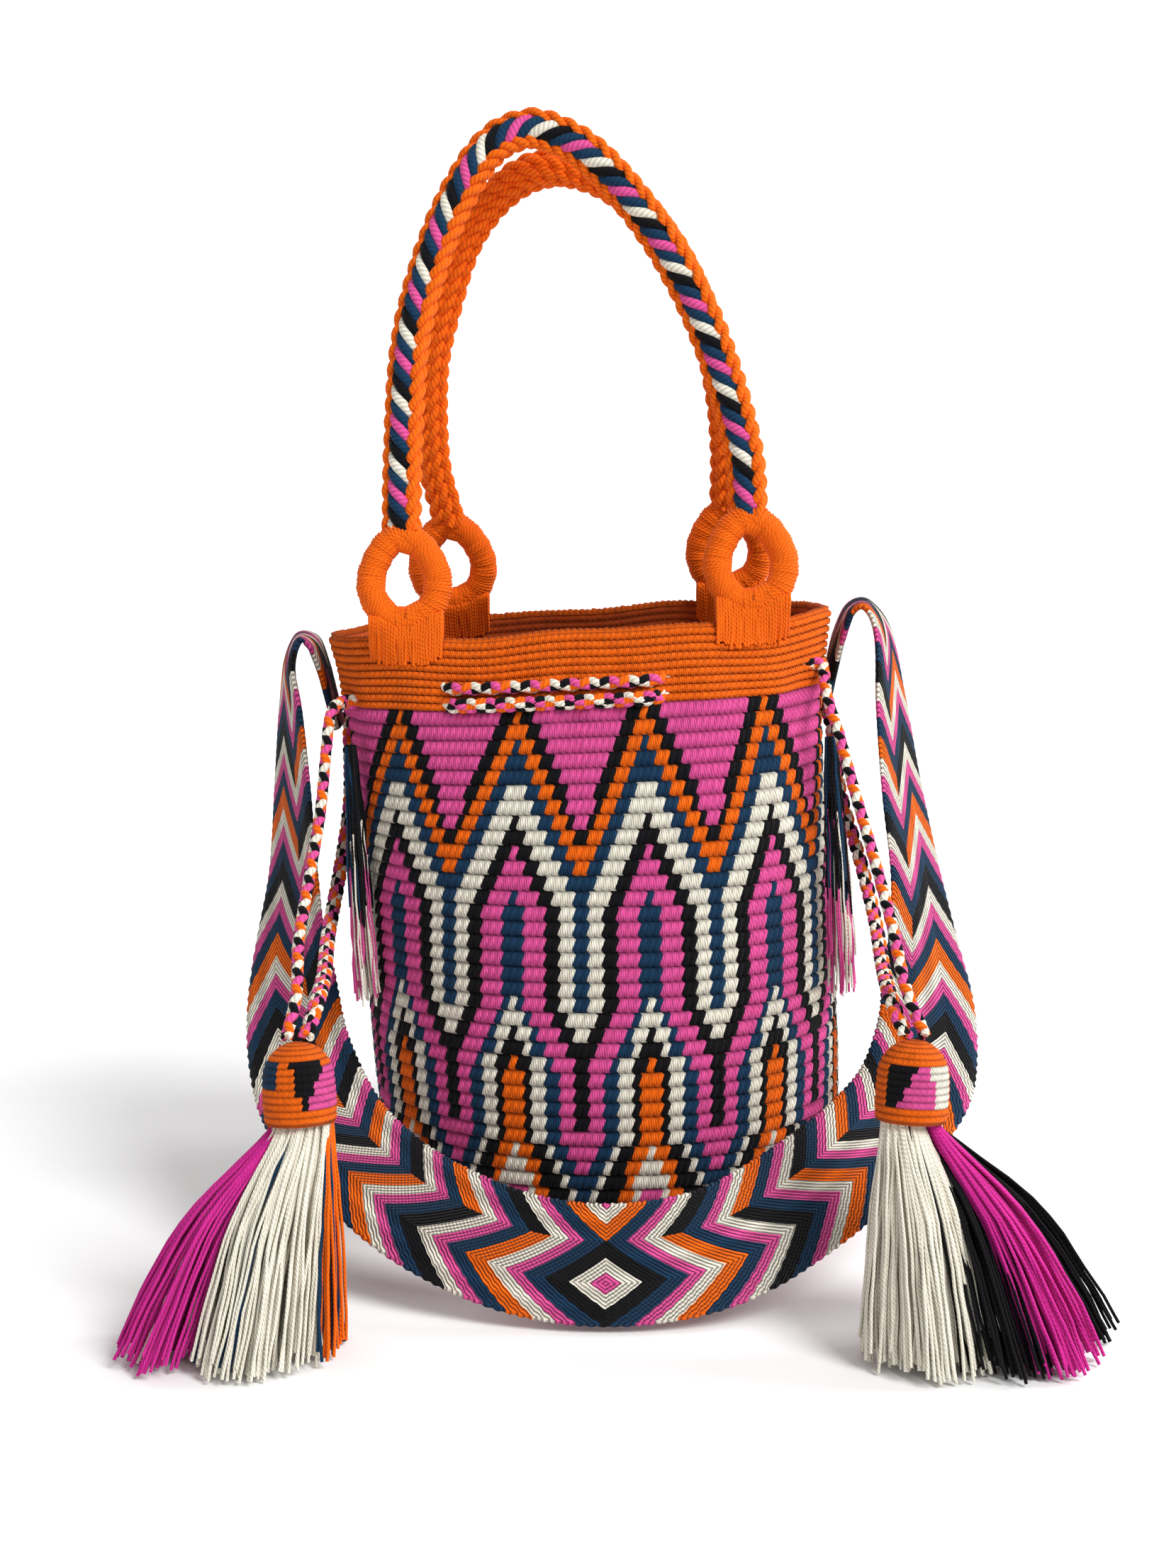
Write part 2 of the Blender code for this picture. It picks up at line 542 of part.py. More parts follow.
def clear_scene():
    for obj in list(bpy.data.objects):
        bpy.data.objects.remove(obj)


def new_collection(name):
    collection = bpy.data.collections.new(name)
    bpy.context.scene.collection.children.link(collection)
    return collection


def main():
    clear_scene()
    bag = new_collection("crocheted_bag")
    cutters = new_collection("cutters")
    cutters.hide_render = True
    bag_body(bag, cutters)
    handle("front", True, FRONT_ARCH, bag, cutters)
    handle("rear", False, REAR_ARCH, bag, cutters)
    shoulder_strap(bag)
    left_tops = tassel("left", LEFT_CAP, LEFT_CAP_LEAN, LEFT_BUNDLES, bag)
    right_tops = tassel("right", RIGHT_CAP, RIGHT_CAP_LEAN, RIGHT_BUNDLES, bag)
    drawstring("left_drawstring", LOW_RUN_Z, False, LEFT_FRONT_END, LEFT_REAR_END, left_tops, bag)
    drawstring("right_drawstring", HIGH_RUN_Z, True, RIGHT_FRONT_END, RIGHT_REAR_END, right_tops[::-1], bag)
    tail("left_strap_tail", LEFT_TAIL, bag)
    tail("right_strap_tail", RIGHT_TAIL, bag)
    bpy.context.view_layer.update()


main()
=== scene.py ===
# Crocheted bucket bag with rope handles, a woven strap, drawstrings and tassels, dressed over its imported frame.
import math
import random

import bmesh
import bpy
import numpy as np
from mathutils import Matrix, Vector


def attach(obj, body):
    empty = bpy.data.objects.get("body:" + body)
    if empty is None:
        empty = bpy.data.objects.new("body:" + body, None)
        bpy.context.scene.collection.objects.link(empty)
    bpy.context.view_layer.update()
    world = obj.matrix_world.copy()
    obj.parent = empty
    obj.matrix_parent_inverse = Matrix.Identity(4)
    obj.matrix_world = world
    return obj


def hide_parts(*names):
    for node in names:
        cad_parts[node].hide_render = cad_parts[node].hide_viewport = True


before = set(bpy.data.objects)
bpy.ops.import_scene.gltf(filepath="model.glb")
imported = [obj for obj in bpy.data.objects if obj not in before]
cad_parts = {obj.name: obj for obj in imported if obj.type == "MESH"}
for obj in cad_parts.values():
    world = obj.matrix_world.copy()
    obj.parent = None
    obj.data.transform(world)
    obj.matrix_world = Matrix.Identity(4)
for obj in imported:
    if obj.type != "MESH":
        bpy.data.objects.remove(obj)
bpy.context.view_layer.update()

# Yarn colours, as the whole bag uses them (linear RGB).
yarnColours = {
    "orange": (0.95, 0.150, 0.005),
    "pink": (0.80, 0.095, 0.340),
    "magenta": (0.66, 0.026, 0.300),
    "cream": (0.88, 0.83, 0.70),
    "navy": (0.009, 0.042, 0.098),
    "black": (0.0055, 0.005, 0.0065),
}


# Camera, light and floor.
cameraSetup = {"place": (-0.014, -1.2, 0.400), "tiltDown": 8.79, "lens": 56.85, "sensor": 36.0}
floorShape = {"colour": (0.90, 0.90, 0.90), "roughness": 0.9, "front": -4.0, "bend": 1.2, "radius": 0.8, "top": 4.0,
              "halfWidth": 5.0}
lighting = {"sky": 0.50, "sun": 2.75, "softness": 28, "from": (0.55, -0.50, 0.70),
            "side": {"place": (1.3, 0.15, 0.9), "aim": (0, 0, 0.2), "size": 0.5, "power": 9}}


def addCamera():
    data = bpy.data.cameras.new("camera")
    data.lens = cameraSetup["lens"]
    data.sensor_width = cameraSetup["sensor"]
    data.clip_start = 0.01
    camera = bpy.data.objects.new("camera", data)
    camera.location = cameraSetup["place"]
    camera.rotation_euler = (math.radians(90 - cameraSetup["tiltDown"]), 0, 0)
    bpy.context.collection.objects.link(camera)
    bpy.context.scene.camera = camera


def addSideLight():
    side = lighting["side"]
    data = bpy.data.lights.new("sideLight", "AREA")
    data.shape = "DISK"
    data.size = side["size"]
    data.energy = side["power"]
    light = bpy.data.objects.new("sideLight", data)
    light.location = side["place"]
    light.rotation_euler = (Vector(side["aim"]) - Vector(side["place"])).to_track_quat("-Z", "Y").to_euler()
    bpy.context.collection.objects.link(light)


def addSun():
    data = bpy.data.lights.new("softSun", "SUN")
    data.energy = lighting["sun"]
    data.angle = math.radians(lighting["softness"])
    sun = bpy.data.objects.new("softSun", data)
    sun.rotation_euler = Vector(lighting["from"]).to_track_quat("Z", "Y").to_euler()
    bpy.context.collection.objects.link(sun)


def addFloor():
    # a pale sweep: flat floor that curves up behind the bag
    bend, radius, wide = floorShape["bend"], floorShape["radius"], floorShape["halfWidth"]
    profile = [(floorShape["front"], 0.0), (bend, 0.0)]
    profile += [(bend + radius * math.sin(a), radius - radius * math.cos(a))
                for a in np.radians(np.linspace(5, 90, 18))]
    profile += [(bend + radius, floorShape["top"])]
    mesh = bpy.data.meshes.new("floor")
    points = [(x, y, z) for y, z in profile for x in (-wide, wide)]
    mesh.from_pydata(points, [], [(2 * k, 2 * k + 1, 2 * k + 3, 2 * k + 2) for k in range(len(profile) - 1)])
    mesh.polygons.foreach_set("use_smooth", [True] * len(mesh.polygons))
    floor = bpy.data.objects.new("floor", mesh)
    bpy.context.collection.objects.link(floor)
    material = bpy.data.materials.new("paleFloor")
    material.use_nodes = True
    shader = material.node_tree.nodes["Principled BSDF"]
    shader.inputs["Base Color"].default_value = (*floorShape["colour"], 1)
    shader.inputs["Roughness"].default_value = floorShape["roughness"]
    mesh.materials.append(material)


def addSky():
    # even light from all round; seen straight on, the room behind the sweep is as pale as the floor
    world = bpy.data.worlds.new("studio")
    world.use_nodes = True
    nodes, links = world.node_tree.nodes, world.node_tree.links
    light = nodes["Background"]
    room, mixer, path = (nodes.new(kind) for kind in (
        "ShaderNodeBackground", "ShaderNodeMixShader", "ShaderNodeLightPath"))
    for background, strength in ((light, lighting["sky"]), (room, 1.0)):
        background.inputs["Color"].default_value = (1, 1, 1, 1)
        background.inputs["Strength"].default_value = strength
    links.new(path.outputs["Is Camera Ray"], mixer.inputs[0])
    links.new(light.outputs[0], mixer.inputs[1])
    links.new(room.outputs[0], mixer.inputs[2])
    links.new(mixer.outputs[0], nodes["World Output"].inputs["Surface"])
    bpy.context.scene.world = world
    bpy.context.scene.view_settings.view_transform = "Standard"


addCamera()
addFloor()
addSky()
addSun()
addSideLight()
print("stage ready")


# The bag's form, shared by every piece that lies on it.
bagShape = {
    "rimHeight": 0.294, "wall": 0.004, "mouthShift": -0.018, "rimSlope": math.tan(math.radians(3.0)),
    "slopeFrom": 0.15,
    "sections": [  # height, half width, half depth, squareness
        (0.000, 0.0940, 0.0880, 2.0), (0.006, 0.1020, 0.0965, 2.0), (0.020, 0.1085, 0.1030, 2.0),
        (0.045, 0.1125, 0.1065, 2.05), (0.090, 0.1140, 0.1065, 2.15), (0.150, 0.1135, 0.1010, 2.35),
        (0.210, 0.1125, 0.0900, 2.6), (0.250, 0.1130, 0.0790, 2.7), (0.275, 0.1165, 0.0715, 2.65),
        (0.294, 0.1205, 0.0640, 2.6)],
}
sectionTable = np.array(bagShape["sections"])


def smooth(t):
    t = np.clip(t, 0.0, 1.0)
    return t * t * (3 - 2 * t)


def bagPoint(angle, z, out=0.0):
    # a point out metres outside the wall, at a height and an angle about the bag; takes arrays of angles
    a, b, p = (np.interp(z, sectionTable[:, 0], sectionTable[:, k]) for k in (1, 2, 3))
    c, s = np.cos(angle), np.sin(angle)
    x = a * np.sign(c) * np.abs(c) ** (2 / p)
    y = b * np.sign(s) * np.abs(s) ** (2 / p)
    nx = np.sign(x) * np.abs(x / a) ** (p - 1) / a
    ny = np.sign(y) * np.abs(y / b) ** (p - 1) / b
    size = np.hypot(nx, ny)
    rim = bagShape["rimHeight"]
    x = bagShape["mouthShift"] * z / rim + x + nx / size * out
    y = y + ny / size * out
    share = smooth((z - bagShape["slopeFrom"]) / (rim - bagShape["slopeFrom"]))
    return np.stack([x, y, z + bagShape["rimSlope"] * (x - bagShape["mouthShift"]) * share + 0 * x], axis=-1)


def angleAt(z, x=None, y=None, front=True, right=True):
    a, b, p = (float(np.interp(z, sectionTable[:, 0], sectionTable[:, k])) for k in (1, 2, 3))
    if x is not None:
        share = (x - bagShape["mouthShift"] * z / bagShape["rimHeight"]) / a
        return math.acos(math.copysign(abs(share) ** (p / 2), share)) * (-1 if front else 1)
    s = math.copysign((abs(y) / b) ** (p / 2), y)
    return math.asin(s) if right else math.pi - math.asin(s)


def roundAngles(z, shares):
    # angles at even arc lengths round the bag; share 0 is the middle of the front, and they grow to the right
    angles = np.linspace(-math.pi / 2, 1.5 * math.pi, 1441)
    points = bagPoint(angles, z)
    run = np.concatenate([[0], np.cumsum(np.linalg.norm(np.diff(points[:, :2], axis=0), axis=1))])
    whole = np.floor(shares)
    return np.interp(shares - whole, run / run[-1], angles) + whole * 2 * math.pi


# Materials.
def addNode(tree, kind, **values):
    node = tree.nodes.new(kind)
    for key, value in values.items():
        setattr(node, key, value)
    return node


def mathNode(tree, operation, a, b=None, c=None):
    node = tree.nodes.new("ShaderNodeMath")
    node.operation = operation
    for socket, value in zip(node.inputs, (a, b, c)):
        if value is None:
            continue
        if isinstance(value, (int, float)):
            socket.default_value = value
        else:
            tree.links.new(value, socket)
    return node.outputs[0]


def noiseOver(tree, scale, detail):
    # noise that is fixed to the piece itself
    spot = tree.nodes.new("ShaderNodeTexCoord")
    noise = tree.nodes.new("ShaderNodeTexNoise")
    noise.inputs["Scale"].default_value = scale
    noise.inputs["Detail"].default_value = detail
    tree.links.new(spot.outputs["Object"], noise.inputs["Vector"])
    return noise.outputs[0]


def split(tree, vector):
    parts = tree.nodes.new("ShaderNodeSeparateXYZ")
    tree.links.new(vector, parts.inputs[0])
    return parts.outputs


def shadeColour(tree, colour, shade):
    scaled = addNode(tree, "ShaderNodeVectorMath", operation="SCALE")
    tree.links.new(colour, scaled.inputs[0])
    tree.links.new(shade, scaled.inputs["Scale"])
    return scaled.outputs[0]


def paintedPlyShadeAndTone(tree, start, lift, patches):
    # painted shade between the plies, and tone a little uneven from place to place
    paintedHollowShade = mathNode(tree, "MULTIPLY", mathNode(tree, "SUBTRACT", 1.0, lift), start.outputs["Depth"])
    dark = mathNode(tree, "SUBTRACT", 1.0, paintedHollowShade)
    return mathNode(tree, "MULTIPLY_ADD", mathNode(tree, "SUBTRACT", patches, 0.5), start.outputs["Variation"], dark)


def makeGroup(name, inputs, outputs):
    group = bpy.data.node_groups.new(name, "ShaderNodeTree")
    for label, kind, value in inputs:
        socket = group.interface.new_socket(name=label, in_out="INPUT", socket_type=kind)
        if value is not None:
            socket.default_value = value
    for label, kind in outputs:
        group.interface.new_socket(name=label, in_out="OUTPUT", socket_type=kind)
    return group, group.nodes.new("NodeGroupInput"), group.nodes.new("NodeGroupOutput")


def makeSpunYarn():
    # plies twisted round a strand, from its own lengthwise and round-about attribute, with loose fibres over them and
    # painted shade between the plies
    tree, start, end = makeGroup("spunYarn", [
        ("Colour", "NodeSocketColor", (0.5, 0.5, 0.5, 1)), ("Plies", "NodeSocketFloat", 3.0),
        ("Pitch", "NodeSocketFloat", 0.006), ("Depth", "NodeSocketFloat", 0.35),
        ("Variation", "NodeSocketFloat", 0.25), ("Fibres", "NodeSocketFloat", 0.55)],
        [("Colour", "NodeSocketColor"), ("Height", "NodeSocketFloat")])
    twist = split(tree, addNode(tree, "ShaderNodeAttribute", attribute_name="twist").outputs["Vector"])
    turn = mathNode(tree, "ARCTAN2", twist[1], twist[0])
    along = mathNode(tree, "DIVIDE", twist[2], start.outputs["Pitch"])
    phase = mathNode(tree, "MULTIPLY_ADD", along, 2 * math.pi, turn)
    wave = mathNode(tree, "SINE", mathNode(tree, "MULTIPLY", phase, start.outputs["Plies"]))
    lift = mathNode(tree, "MULTIPLY_ADD", wave, 0.5, 0.5)
    height = mathNode(tree, "MULTIPLY_ADD", noiseOver(tree, 2600, 3), start.outputs["Fibres"], lift)
    shade = paintedPlyShadeAndTone(tree, start, lift, noiseOver(tree, 190, 2))
    tree.links.new(height, end.inputs["Height"])
    tree.links.new(shadeColour(tree, start.outputs["Colour"], shade), end.inputs["Colour"])
    return tree


def makeCrochetGrainAndShade():
    # plies that run up each leaning stitch, with loose fibres and painted shade, on the wall's stitch-counting UV map
    tree, start, end = makeGroup("crochetGrainAndShade", [
        ("Colour", "NodeSocketColor", (0.5, 0.5, 0.5, 1)), ("Plies", "NodeSocketFloat", 3.0),
        ("Lean", "NodeSocketFloat", 1.0), ("Depth", "NodeSocketFloat", 0.42), ("Variation", "NodeSocketFloat", 0.5),
        ("Fibres", "NodeSocketFloat", 0.7), ("PaintedGrooveShade", "NodeSocketFloat", 0.45)],
        [("Colour", "NodeSocketColor"), ("Height", "NodeSocketFloat")])
    stitch = split(tree, addNode(tree, "ShaderNodeUVMap", uv_map="stitch").outputs[0])
    lean = mathNode(tree, "MULTIPLY", mathNode(tree, "FRACT", stitch[1]), start.outputs["Lean"])
    across = mathNode(tree, "SUBTRACT", stitch[0], lean)
    turns = mathNode(tree, "MULTIPLY", across, start.outputs["Plies"])
    plies = mathNode(tree, "SINE", mathNode(tree, "MULTIPLY", turns, 2 * math.pi))
    lift = mathNode(tree, "MULTIPLY_ADD", plies, 0.5, 0.5)
    height = mathNode(tree, "MULTIPLY_ADD", noiseOver(tree, 2400, 3), start.outputs["Fibres"], lift)
    shade = paintedPlyShadeAndTone(tree, start, lift, noiseOver(tree, 240, 2))

    def between(count, power):
        wave = mathNode(tree, "SINE", mathNode(tree, "MULTIPLY", count, math.pi))
        return mathNode(tree, "POWER", mathNode(tree, "ABSOLUTE", wave), power)

    # painted shade in the grooves between the rows, and shallower painted shade between the stitches
    rows = mathNode(tree, "MULTIPLY_ADD", between(stitch[1], start.outputs["PaintedGrooveShade"]), 0.66, 0.34)
    stitches = mathNode(tree, "MULTIPLY_ADD", between(across, 0.35), 0.26, 0.74)
    shade = mathNode(tree, "MULTIPLY", shade, mathNode(tree, "MULTIPLY", rows, stitches))
    tree.links.new(height, end.inputs["Height"])
    tree.links.new(shadeColour(tree, start.outputs["Colour"], shade), end.inputs["Colour"])
    return tree


spunYarn = makeSpunYarn()
crochetGrainAndShade = makeCrochetGrainAndShade()


yarnFinish = {"roughness": 0.82, "specular": 0.09, "sheen": 0.05, "sheenRoughness": 0.5, "bump": 0.8}


def dryFinish(shader):
    for label, key in (("Roughness", "roughness"), ("Specular IOR Level", "specular"), ("Sheen Weight", "sheen"),
                       ("Sheen Roughness", "sheenRoughness")):
        shader.inputs[label].default_value = yarnFinish[key]


def finishMaterial(material, colour, height, bumpStrength, bumpDistance):
    tree = material.node_tree
    shader = tree.nodes["Principled BSDF"]
    bump = tree.nodes.new("ShaderNodeBump")
    bump.inputs["Strength"].default_value = bumpStrength
    bump.inputs["Distance"].default_value = bumpDistance
    tree.links.new(height, bump.inputs["Height"])
    tree.links.new(bump.outputs[0], shader.inputs["Normal"])
    tree.links.new(colour, shader.inputs["Base Color"])
    dryFinish(shader)


def grainMaterial(material, group, bumpDistance, **settings):
    grain = addNode(material.node_tree, "ShaderNodeGroup", node_tree=group)
    for key, value in settings.items():
        grain.inputs[key].default_value = value
    finishMaterial(material, grain.outputs["Colour"], grain.outputs["Height"], yarnFinish["bump"], bumpDistance)
    return grain


def newMaterial(name):
    material = bpy.data.materials.new(name)
    material.use_nodes = True
    return material


yarnMaterials = {}
for yarn, colour in yarnColours.items():
    yarnMaterials[yarn] = newMaterial(yarn + "Yarn")
    yarnMaterials[yarn].diffuse_color = (*colour, 1)
    grainMaterial(yarnMaterials[yarn], spunYarn, 0.00018, Colour=(*colour, 1), Plies=3.0, Pitch=0.0062)

crochetMaterial = newMaterial("crochet")
crochetColour = addNode(crochetMaterial.node_tree, "ShaderNodeAttribute", attribute_name="yarnColour")
crochetMaterial.node_tree.links.new(crochetColour.outputs["Color"],
                                    grainMaterial(crochetMaterial, crochetGrainAndShade, 0.00022).inputs["Colour"])
print("materials ready")


# Yarn, made by geometry nodes along drawn lines.
def makeYarnTree():
    tree = bpy.data.node_groups.new("yarnAlongLines", "GeometryNodeTree")
    face = tree.interface
    face.new_socket(name="Geometry", in_out="INPUT", socket_type="NodeSocketGeometry")
    for label, kind, value in (("Radius", "NodeSocketFloat", 0.001), ("Sides", "NodeSocketInt", 6),
                               ("Wobble", "NodeSocketFloat", 0.0), ("Seed", "NodeSocketFloat", 0.0),
                               ("Yarn", "NodeSocketMaterial", None)):
        socket = face.new_socket(name=label, in_out="INPUT", socket_type=kind)
        if value is not None:
            socket.default_value = value
    face.new_socket(name="Geometry", in_out="OUTPUT", socket_type="NodeSocketGeometry")
    start, end = tree.nodes.new("NodeGroupInput"), tree.nodes.new("NodeGroupOutput")
    link = tree.links.new
    lines = tree.nodes.new("GeometryNodeMeshToCurve")
    link(start.outputs["Geometry"], lines.inputs[0])
    noise = addNode(tree, "ShaderNodeTexNoise", noise_dimensions="4D")
    noise.inputs["Scale"].default_value = 60
    link(start.outputs["Seed"], noise.inputs["W"])
    centred = addNode(tree, "ShaderNodeVectorMath", operation="SUBTRACT")
    centred.inputs[1].default_value = (0.5, 0.5, 0.5)
    link(noise.outputs["Color"], centred.inputs[0])
    amount = addNode(tree, "ShaderNodeVectorMath", operation="SCALE")
    link(centred.outputs[0], amount.inputs[0])
    link(start.outputs["Wobble"], amount.inputs["Scale"])
    moved = tree.nodes.new("GeometryNodeSetPosition")
    link(lines.outputs[0], moved.inputs[0])
    link(amount.outputs[0], moved.inputs["Offset"])
    lengthwise = tree.nodes.new("GeometryNodeSplineParameter")
    keepLength = tree.nodes.new("GeometryNodeCaptureAttribute")
    keepLength.capture_items.new("FLOAT", "Length")
    link(moved.outputs[0], keepLength.inputs[0])
    link(lengthwise.outputs["Length"], keepLength.inputs[1])
    ring = tree.nodes.new("GeometryNodeCurvePrimitiveCircle")
    link(start.outputs["Sides"], ring.inputs["Resolution"])
    link(start.outputs["Radius"], ring.inputs["Radius"])
    roundabout = tree.nodes.new("GeometryNodeSplineParameter")
    keepTurn = tree.nodes.new("GeometryNodeCaptureAttribute")
    keepTurn.capture_items.new("FLOAT", "Turn")
    link(ring.outputs[0], keepTurn.inputs[0])
    link(roundabout.outputs["Factor"], keepTurn.inputs[1])
    tube = tree.nodes.new("GeometryNodeCurveToMesh")
    tube.inputs["Fill Caps"].default_value = True
    link(keepLength.outputs[0], tube.inputs["Curve"])
    link(keepTurn.outputs[0], tube.inputs["Profile Curve"])
    radians = mathNode(tree, "MULTIPLY", keepTurn.outputs[1], 2 * math.pi)
    vector = tree.nodes.new("ShaderNodeCombineXYZ")
    link(mathNode(tree, "COSINE", radians), vector.inputs[0])
    link(mathNode(tree, "SINE", radians), vector.inputs[1])
    link(keepLength.outputs[1], vector.inputs[2])
    store = addNode(tree, "GeometryNodeStoreNamedAttribute", data_type="FLOAT_VECTOR", domain="POINT")
    store.inputs["Name"].default_value = "twist"
    link(tube.outputs[0], store.inputs[0])
    link(vector.outputs[0], store.inputs["Value"])
    shade = tree.nodes.new("GeometryNodeSetShadeSmooth")
    link(store.outputs[0], shade.inputs[0])
    real = tree.nodes.new("GeometryNodeRealizeInstances")
    link(shade.outputs[0], real.inputs[0])
    dress = tree.nodes.new("GeometryNodeSetMaterial")
    link(real.outputs[0], dress.inputs[0])
    link(start.outputs["Yarn"], dress.inputs["Material"])
    link(dress.outputs[0], end.inputs[0])
    return tree


yarnTree = makeYarnTree()


def setInput(modifier, tree, label, value):
    for item in tree.interface.items_tree:
        if item.item_type == "SOCKET" and item.in_out == "INPUT" and item.name == label:
            modifier[item.identifier] = value


def spinYarn(paths, radius, yarn, sides=6, wobble=0.0, seed=0.0, closed=False):
    # plain mesh of yarn along the given lines, made by the node tree
    mesh = bpy.data.meshes.new("lines")
    points, edges = [], []
    for path in paths:
        first = len(points)
        points.extend([tuple(p) for p in path])
        edges.extend((k, k + 1) for k in range(first, len(points) - 1))
        if closed:
            edges.append((len(points) - 1, first))
    mesh.from_pydata(points, edges, [])
    drawn = bpy.data.objects.new("lines", mesh)
    bpy.context.collection.objects.link(drawn)
    modifier = drawn.modifiers.new("yarn", "NODES")
    modifier.node_group = yarnTree
    for label, value in (("Radius", radius), ("Sides", sides), ("Wobble", wobble), ("Seed", seed),
                         ("Yarn", yarnMaterials[yarn])):
        setInput(modifier, yarnTree, label, value)
    graph = bpy.context.evaluated_depsgraph_get()
    made = bpy.data.meshes.new_from_object(drawn.evaluated_get(graph))
    bpy.data.objects.remove(drawn)
    return made


def joinMeshes(name, meshes):
    objects = []
    for mesh in meshes:
        piece = bpy.data.objects.new(name, mesh)
        bpy.context.collection.objects.link(piece)
        objects.append(piece)
    if len(objects) > 1:
        with bpy.context.temp_override(active_object=objects[0], selected_editable_objects=objects):
            bpy.ops.object.join()
    objects[0].name = name
    objects[0].data.name = name
    return objects[0]


def putOn(piece, body, slot, *nodes):
    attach(piece, body)
    if nodes:
        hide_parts(*nodes)


# Lines for yarn to follow.
def spline(points, steps):
    rows = [np.array(p, float) for p in points]
    ends = [2 * rows[0] - rows[1]] + rows + [2 * rows[-1] - rows[-2]]
    found = []
    for a, b, c, d in zip(ends, ends[1:], ends[2:], ends[3:]):
        for k in range(steps):
            t = k / steps
            found.append(0.5 * (2 * b + (c - a) * t + (2 * a - 5 * b + 4 * c - d) * t**2
                                + (3 * b - 3 * c + d - a) * t**3))
    return np.array(found + [rows[-1]])


def evenly(points, step):
    # the line again, with points at even spacing
    points = np.array(points, float)
    run = np.concatenate([[0], np.cumsum(np.linalg.norm(np.diff(points, axis=0), axis=1))])
    count = max(2, int(round(run[-1] / step)) + 1)
    at = np.linspace(0, run[-1], count)
    return np.stack([np.interp(at, run, points[:, k]) for k in range(points.shape[1])], axis=1), at


def framesAlong(points, up):
    # two directions square to the line at each point, carried along it without twist
    tangent = np.gradient(points, axis=0)
    tangent /= np.linalg.norm(tangent, axis=1)[:, None]
    side = np.zeros_like(points)
    last = np.array(up, float)
    for k, t in enumerate(tangent):
        last = last - t * last.dot(t)
        last /= np.linalg.norm(last)
        side[k] = last
    return side, np.cross(tangent, side)


def around(points, side, other, radius, angle):
    radius = np.broadcast_to(radius, angle.shape)
    return points + side * (radius * np.cos(angle))[:, None] + other * (radius * np.sin(angle))[:, None]


# The crocheted wall, base and lining.
crochet = {
    "stitches": 209, "period": 19, "patternRows": 39, "collarRows": 9, "collarBottom": 0.262,
    "relief": 0.0021, "lean": 0.75, "drift": 0.115, "rimWave": 0.0016, "pucker": 0.0011, "puckerHeight": 0.266,
    "uneven": 0.00012,
    "acrossStitch": ((0.0, 0.0), (0.28, 0.85), (0.5, 1.0), (0.72, 0.85)),  # place in the stitch, height
    "downRow": ((0.0, 0.0, 0.0), (0.16, -0.36, 0.8), (0.5, 0.0, 1.0), (0.84, 0.36, 0.85)),  # place, lean, height
    "baseRows": 13, "baseYarns": ("navy", "navy", "pink", "pink", "pink", "cream", "black", "black", "orange",
                                  "orange", "pink"),
}

# Where each band ends, counted in stitches from a peak's axis, innermost first, row by row from the collar down.
bands = [
    ("pink", [(31.4, -1), (32, 1.1), (33, 1.8), (40, 8.8)]),
    ("cream", [(28.4, -1), (29, 0.4), (30, 1.2), (31, 2.2), (32, 3.0), (33, 4.0), (40, 11)]),
    ("orange", [(22.4, -1), (23, 0.6), (24, 1.35), (28, 1.35), (29, 2.25), (30, 3.1), (31, 4.0), (32, 4.9),
                (33, 5.6), (40, 12.6)]),
    ("black", [(20.4, -1), (21, 0.45), (22, 1.45), (23, 2.5), (24, 2.95), (28, 2.95), (29, 4.3), (30, 5.3),
               (31, 6.2), (32, 7.1), (33, 8.0), (40, 15)]),
    ("cream", [(18.4, -1), (19, 0.4), (20, 1.2), (21, 2.2), (22, 3.0), (23, 4.1), (24, 4.8), (28, 4.8),
               (29, 5.8), (30, 6.7), (31, 7.75), (32, 8.7), (33, 10), (40, 17)]),
    ("navy", [(11.4, -1), (12, 0.6), (13, 1.5), (18, 1.5), (19, 1.8), (20, 2.6), (21, 3.5), (22, 4.5),
              (23, 5.5), (24, 6.6), (28, 6.6), (29, 7.5), (30, 8.7), (31, 10), (40, 19)]),
    ("pink", [(8.4, -1), (9, 0.7), (10, 1.8), (11, 2.9), (12, 3.5), (13, 4.5), (18, 4.5), (19, 4.9),
              (20, 5.8), (21, 6.6), (22, 7.5), (23, 8.5), (27, 8.5), (28, 10), (40, 22)]),
    ("black", [(6.4, -1), (7, 0.8), (8, 1.7), (9, 2.8), (10, 3.8), (11, 5.0), (12, 5.5), (13, 6.2),
               (18, 6.2), (19, 6.7), (20, 7.6), (21, 8.5), (22, 10), (40, 28)]),
    ("cream", [(4.4, -1), (5, 1.1), (12, 8.1), (13, 8.6), (19, 8.6), (20, 10), (40, 30)]),
    ("navy", [(1.9, -1), (2, 0.3), (10, 8.3), (11, 9.3), (11.5, 10), (40, 38)]),
    ("orange", [(0, 0.1), (40, 40.1)]),
    ("black", [(0, 2.1), (5, 7.1), (6, 7.9), (40, 41.9)]),
]


def patternYarn(row, stitch):
    # the yarn that a stitch of the wall is worked in
    offset = stitch + 1 - crochet["stitches"] / 2
    fromAxis = abs(offset % crochet["period"] - crochet["period"] / 2)
    if row < 0:
        return "orange"
    if row >= crochet["patternRows"]:
        rings = crochet["baseYarns"]
        return rings[min(int(row - crochet["patternRows"]), len(rings) - 1)]
    for yarn, knots in bands:
        if fromAxis < np.interp(row, [k[0] for k in knots], [k[1] for k in knots]):
            return yarn
    return "pink"


def profileLine():
    # heights down the wall from the collar's bottom, and the distance run to each
    heights = np.linspace(crochet["collarBottom"], 0.0, 260)
    reach = (np.interp(heights, sectionTable[:, 0], sectionTable[:, 1])
             + np.interp(heights, sectionTable[:, 0], sectionTable[:, 2])) / 2
    run = np.concatenate([[0], np.cumsum(np.hypot(np.diff(heights), np.diff(reach)))])
    return heights, run


wallHeights, wallRun = profileLine()
patternRowHeight = wallRun[-1] / crochet["patternRows"]
collarRowHeight = (bagShape["rimHeight"] - crochet["collarBottom"]) / crochet["collarRows"]
print(f"pattern row {patternRowHeight * 1000:.2f} mm, collar row {collarRowHeight * 1000:.2f} mm")


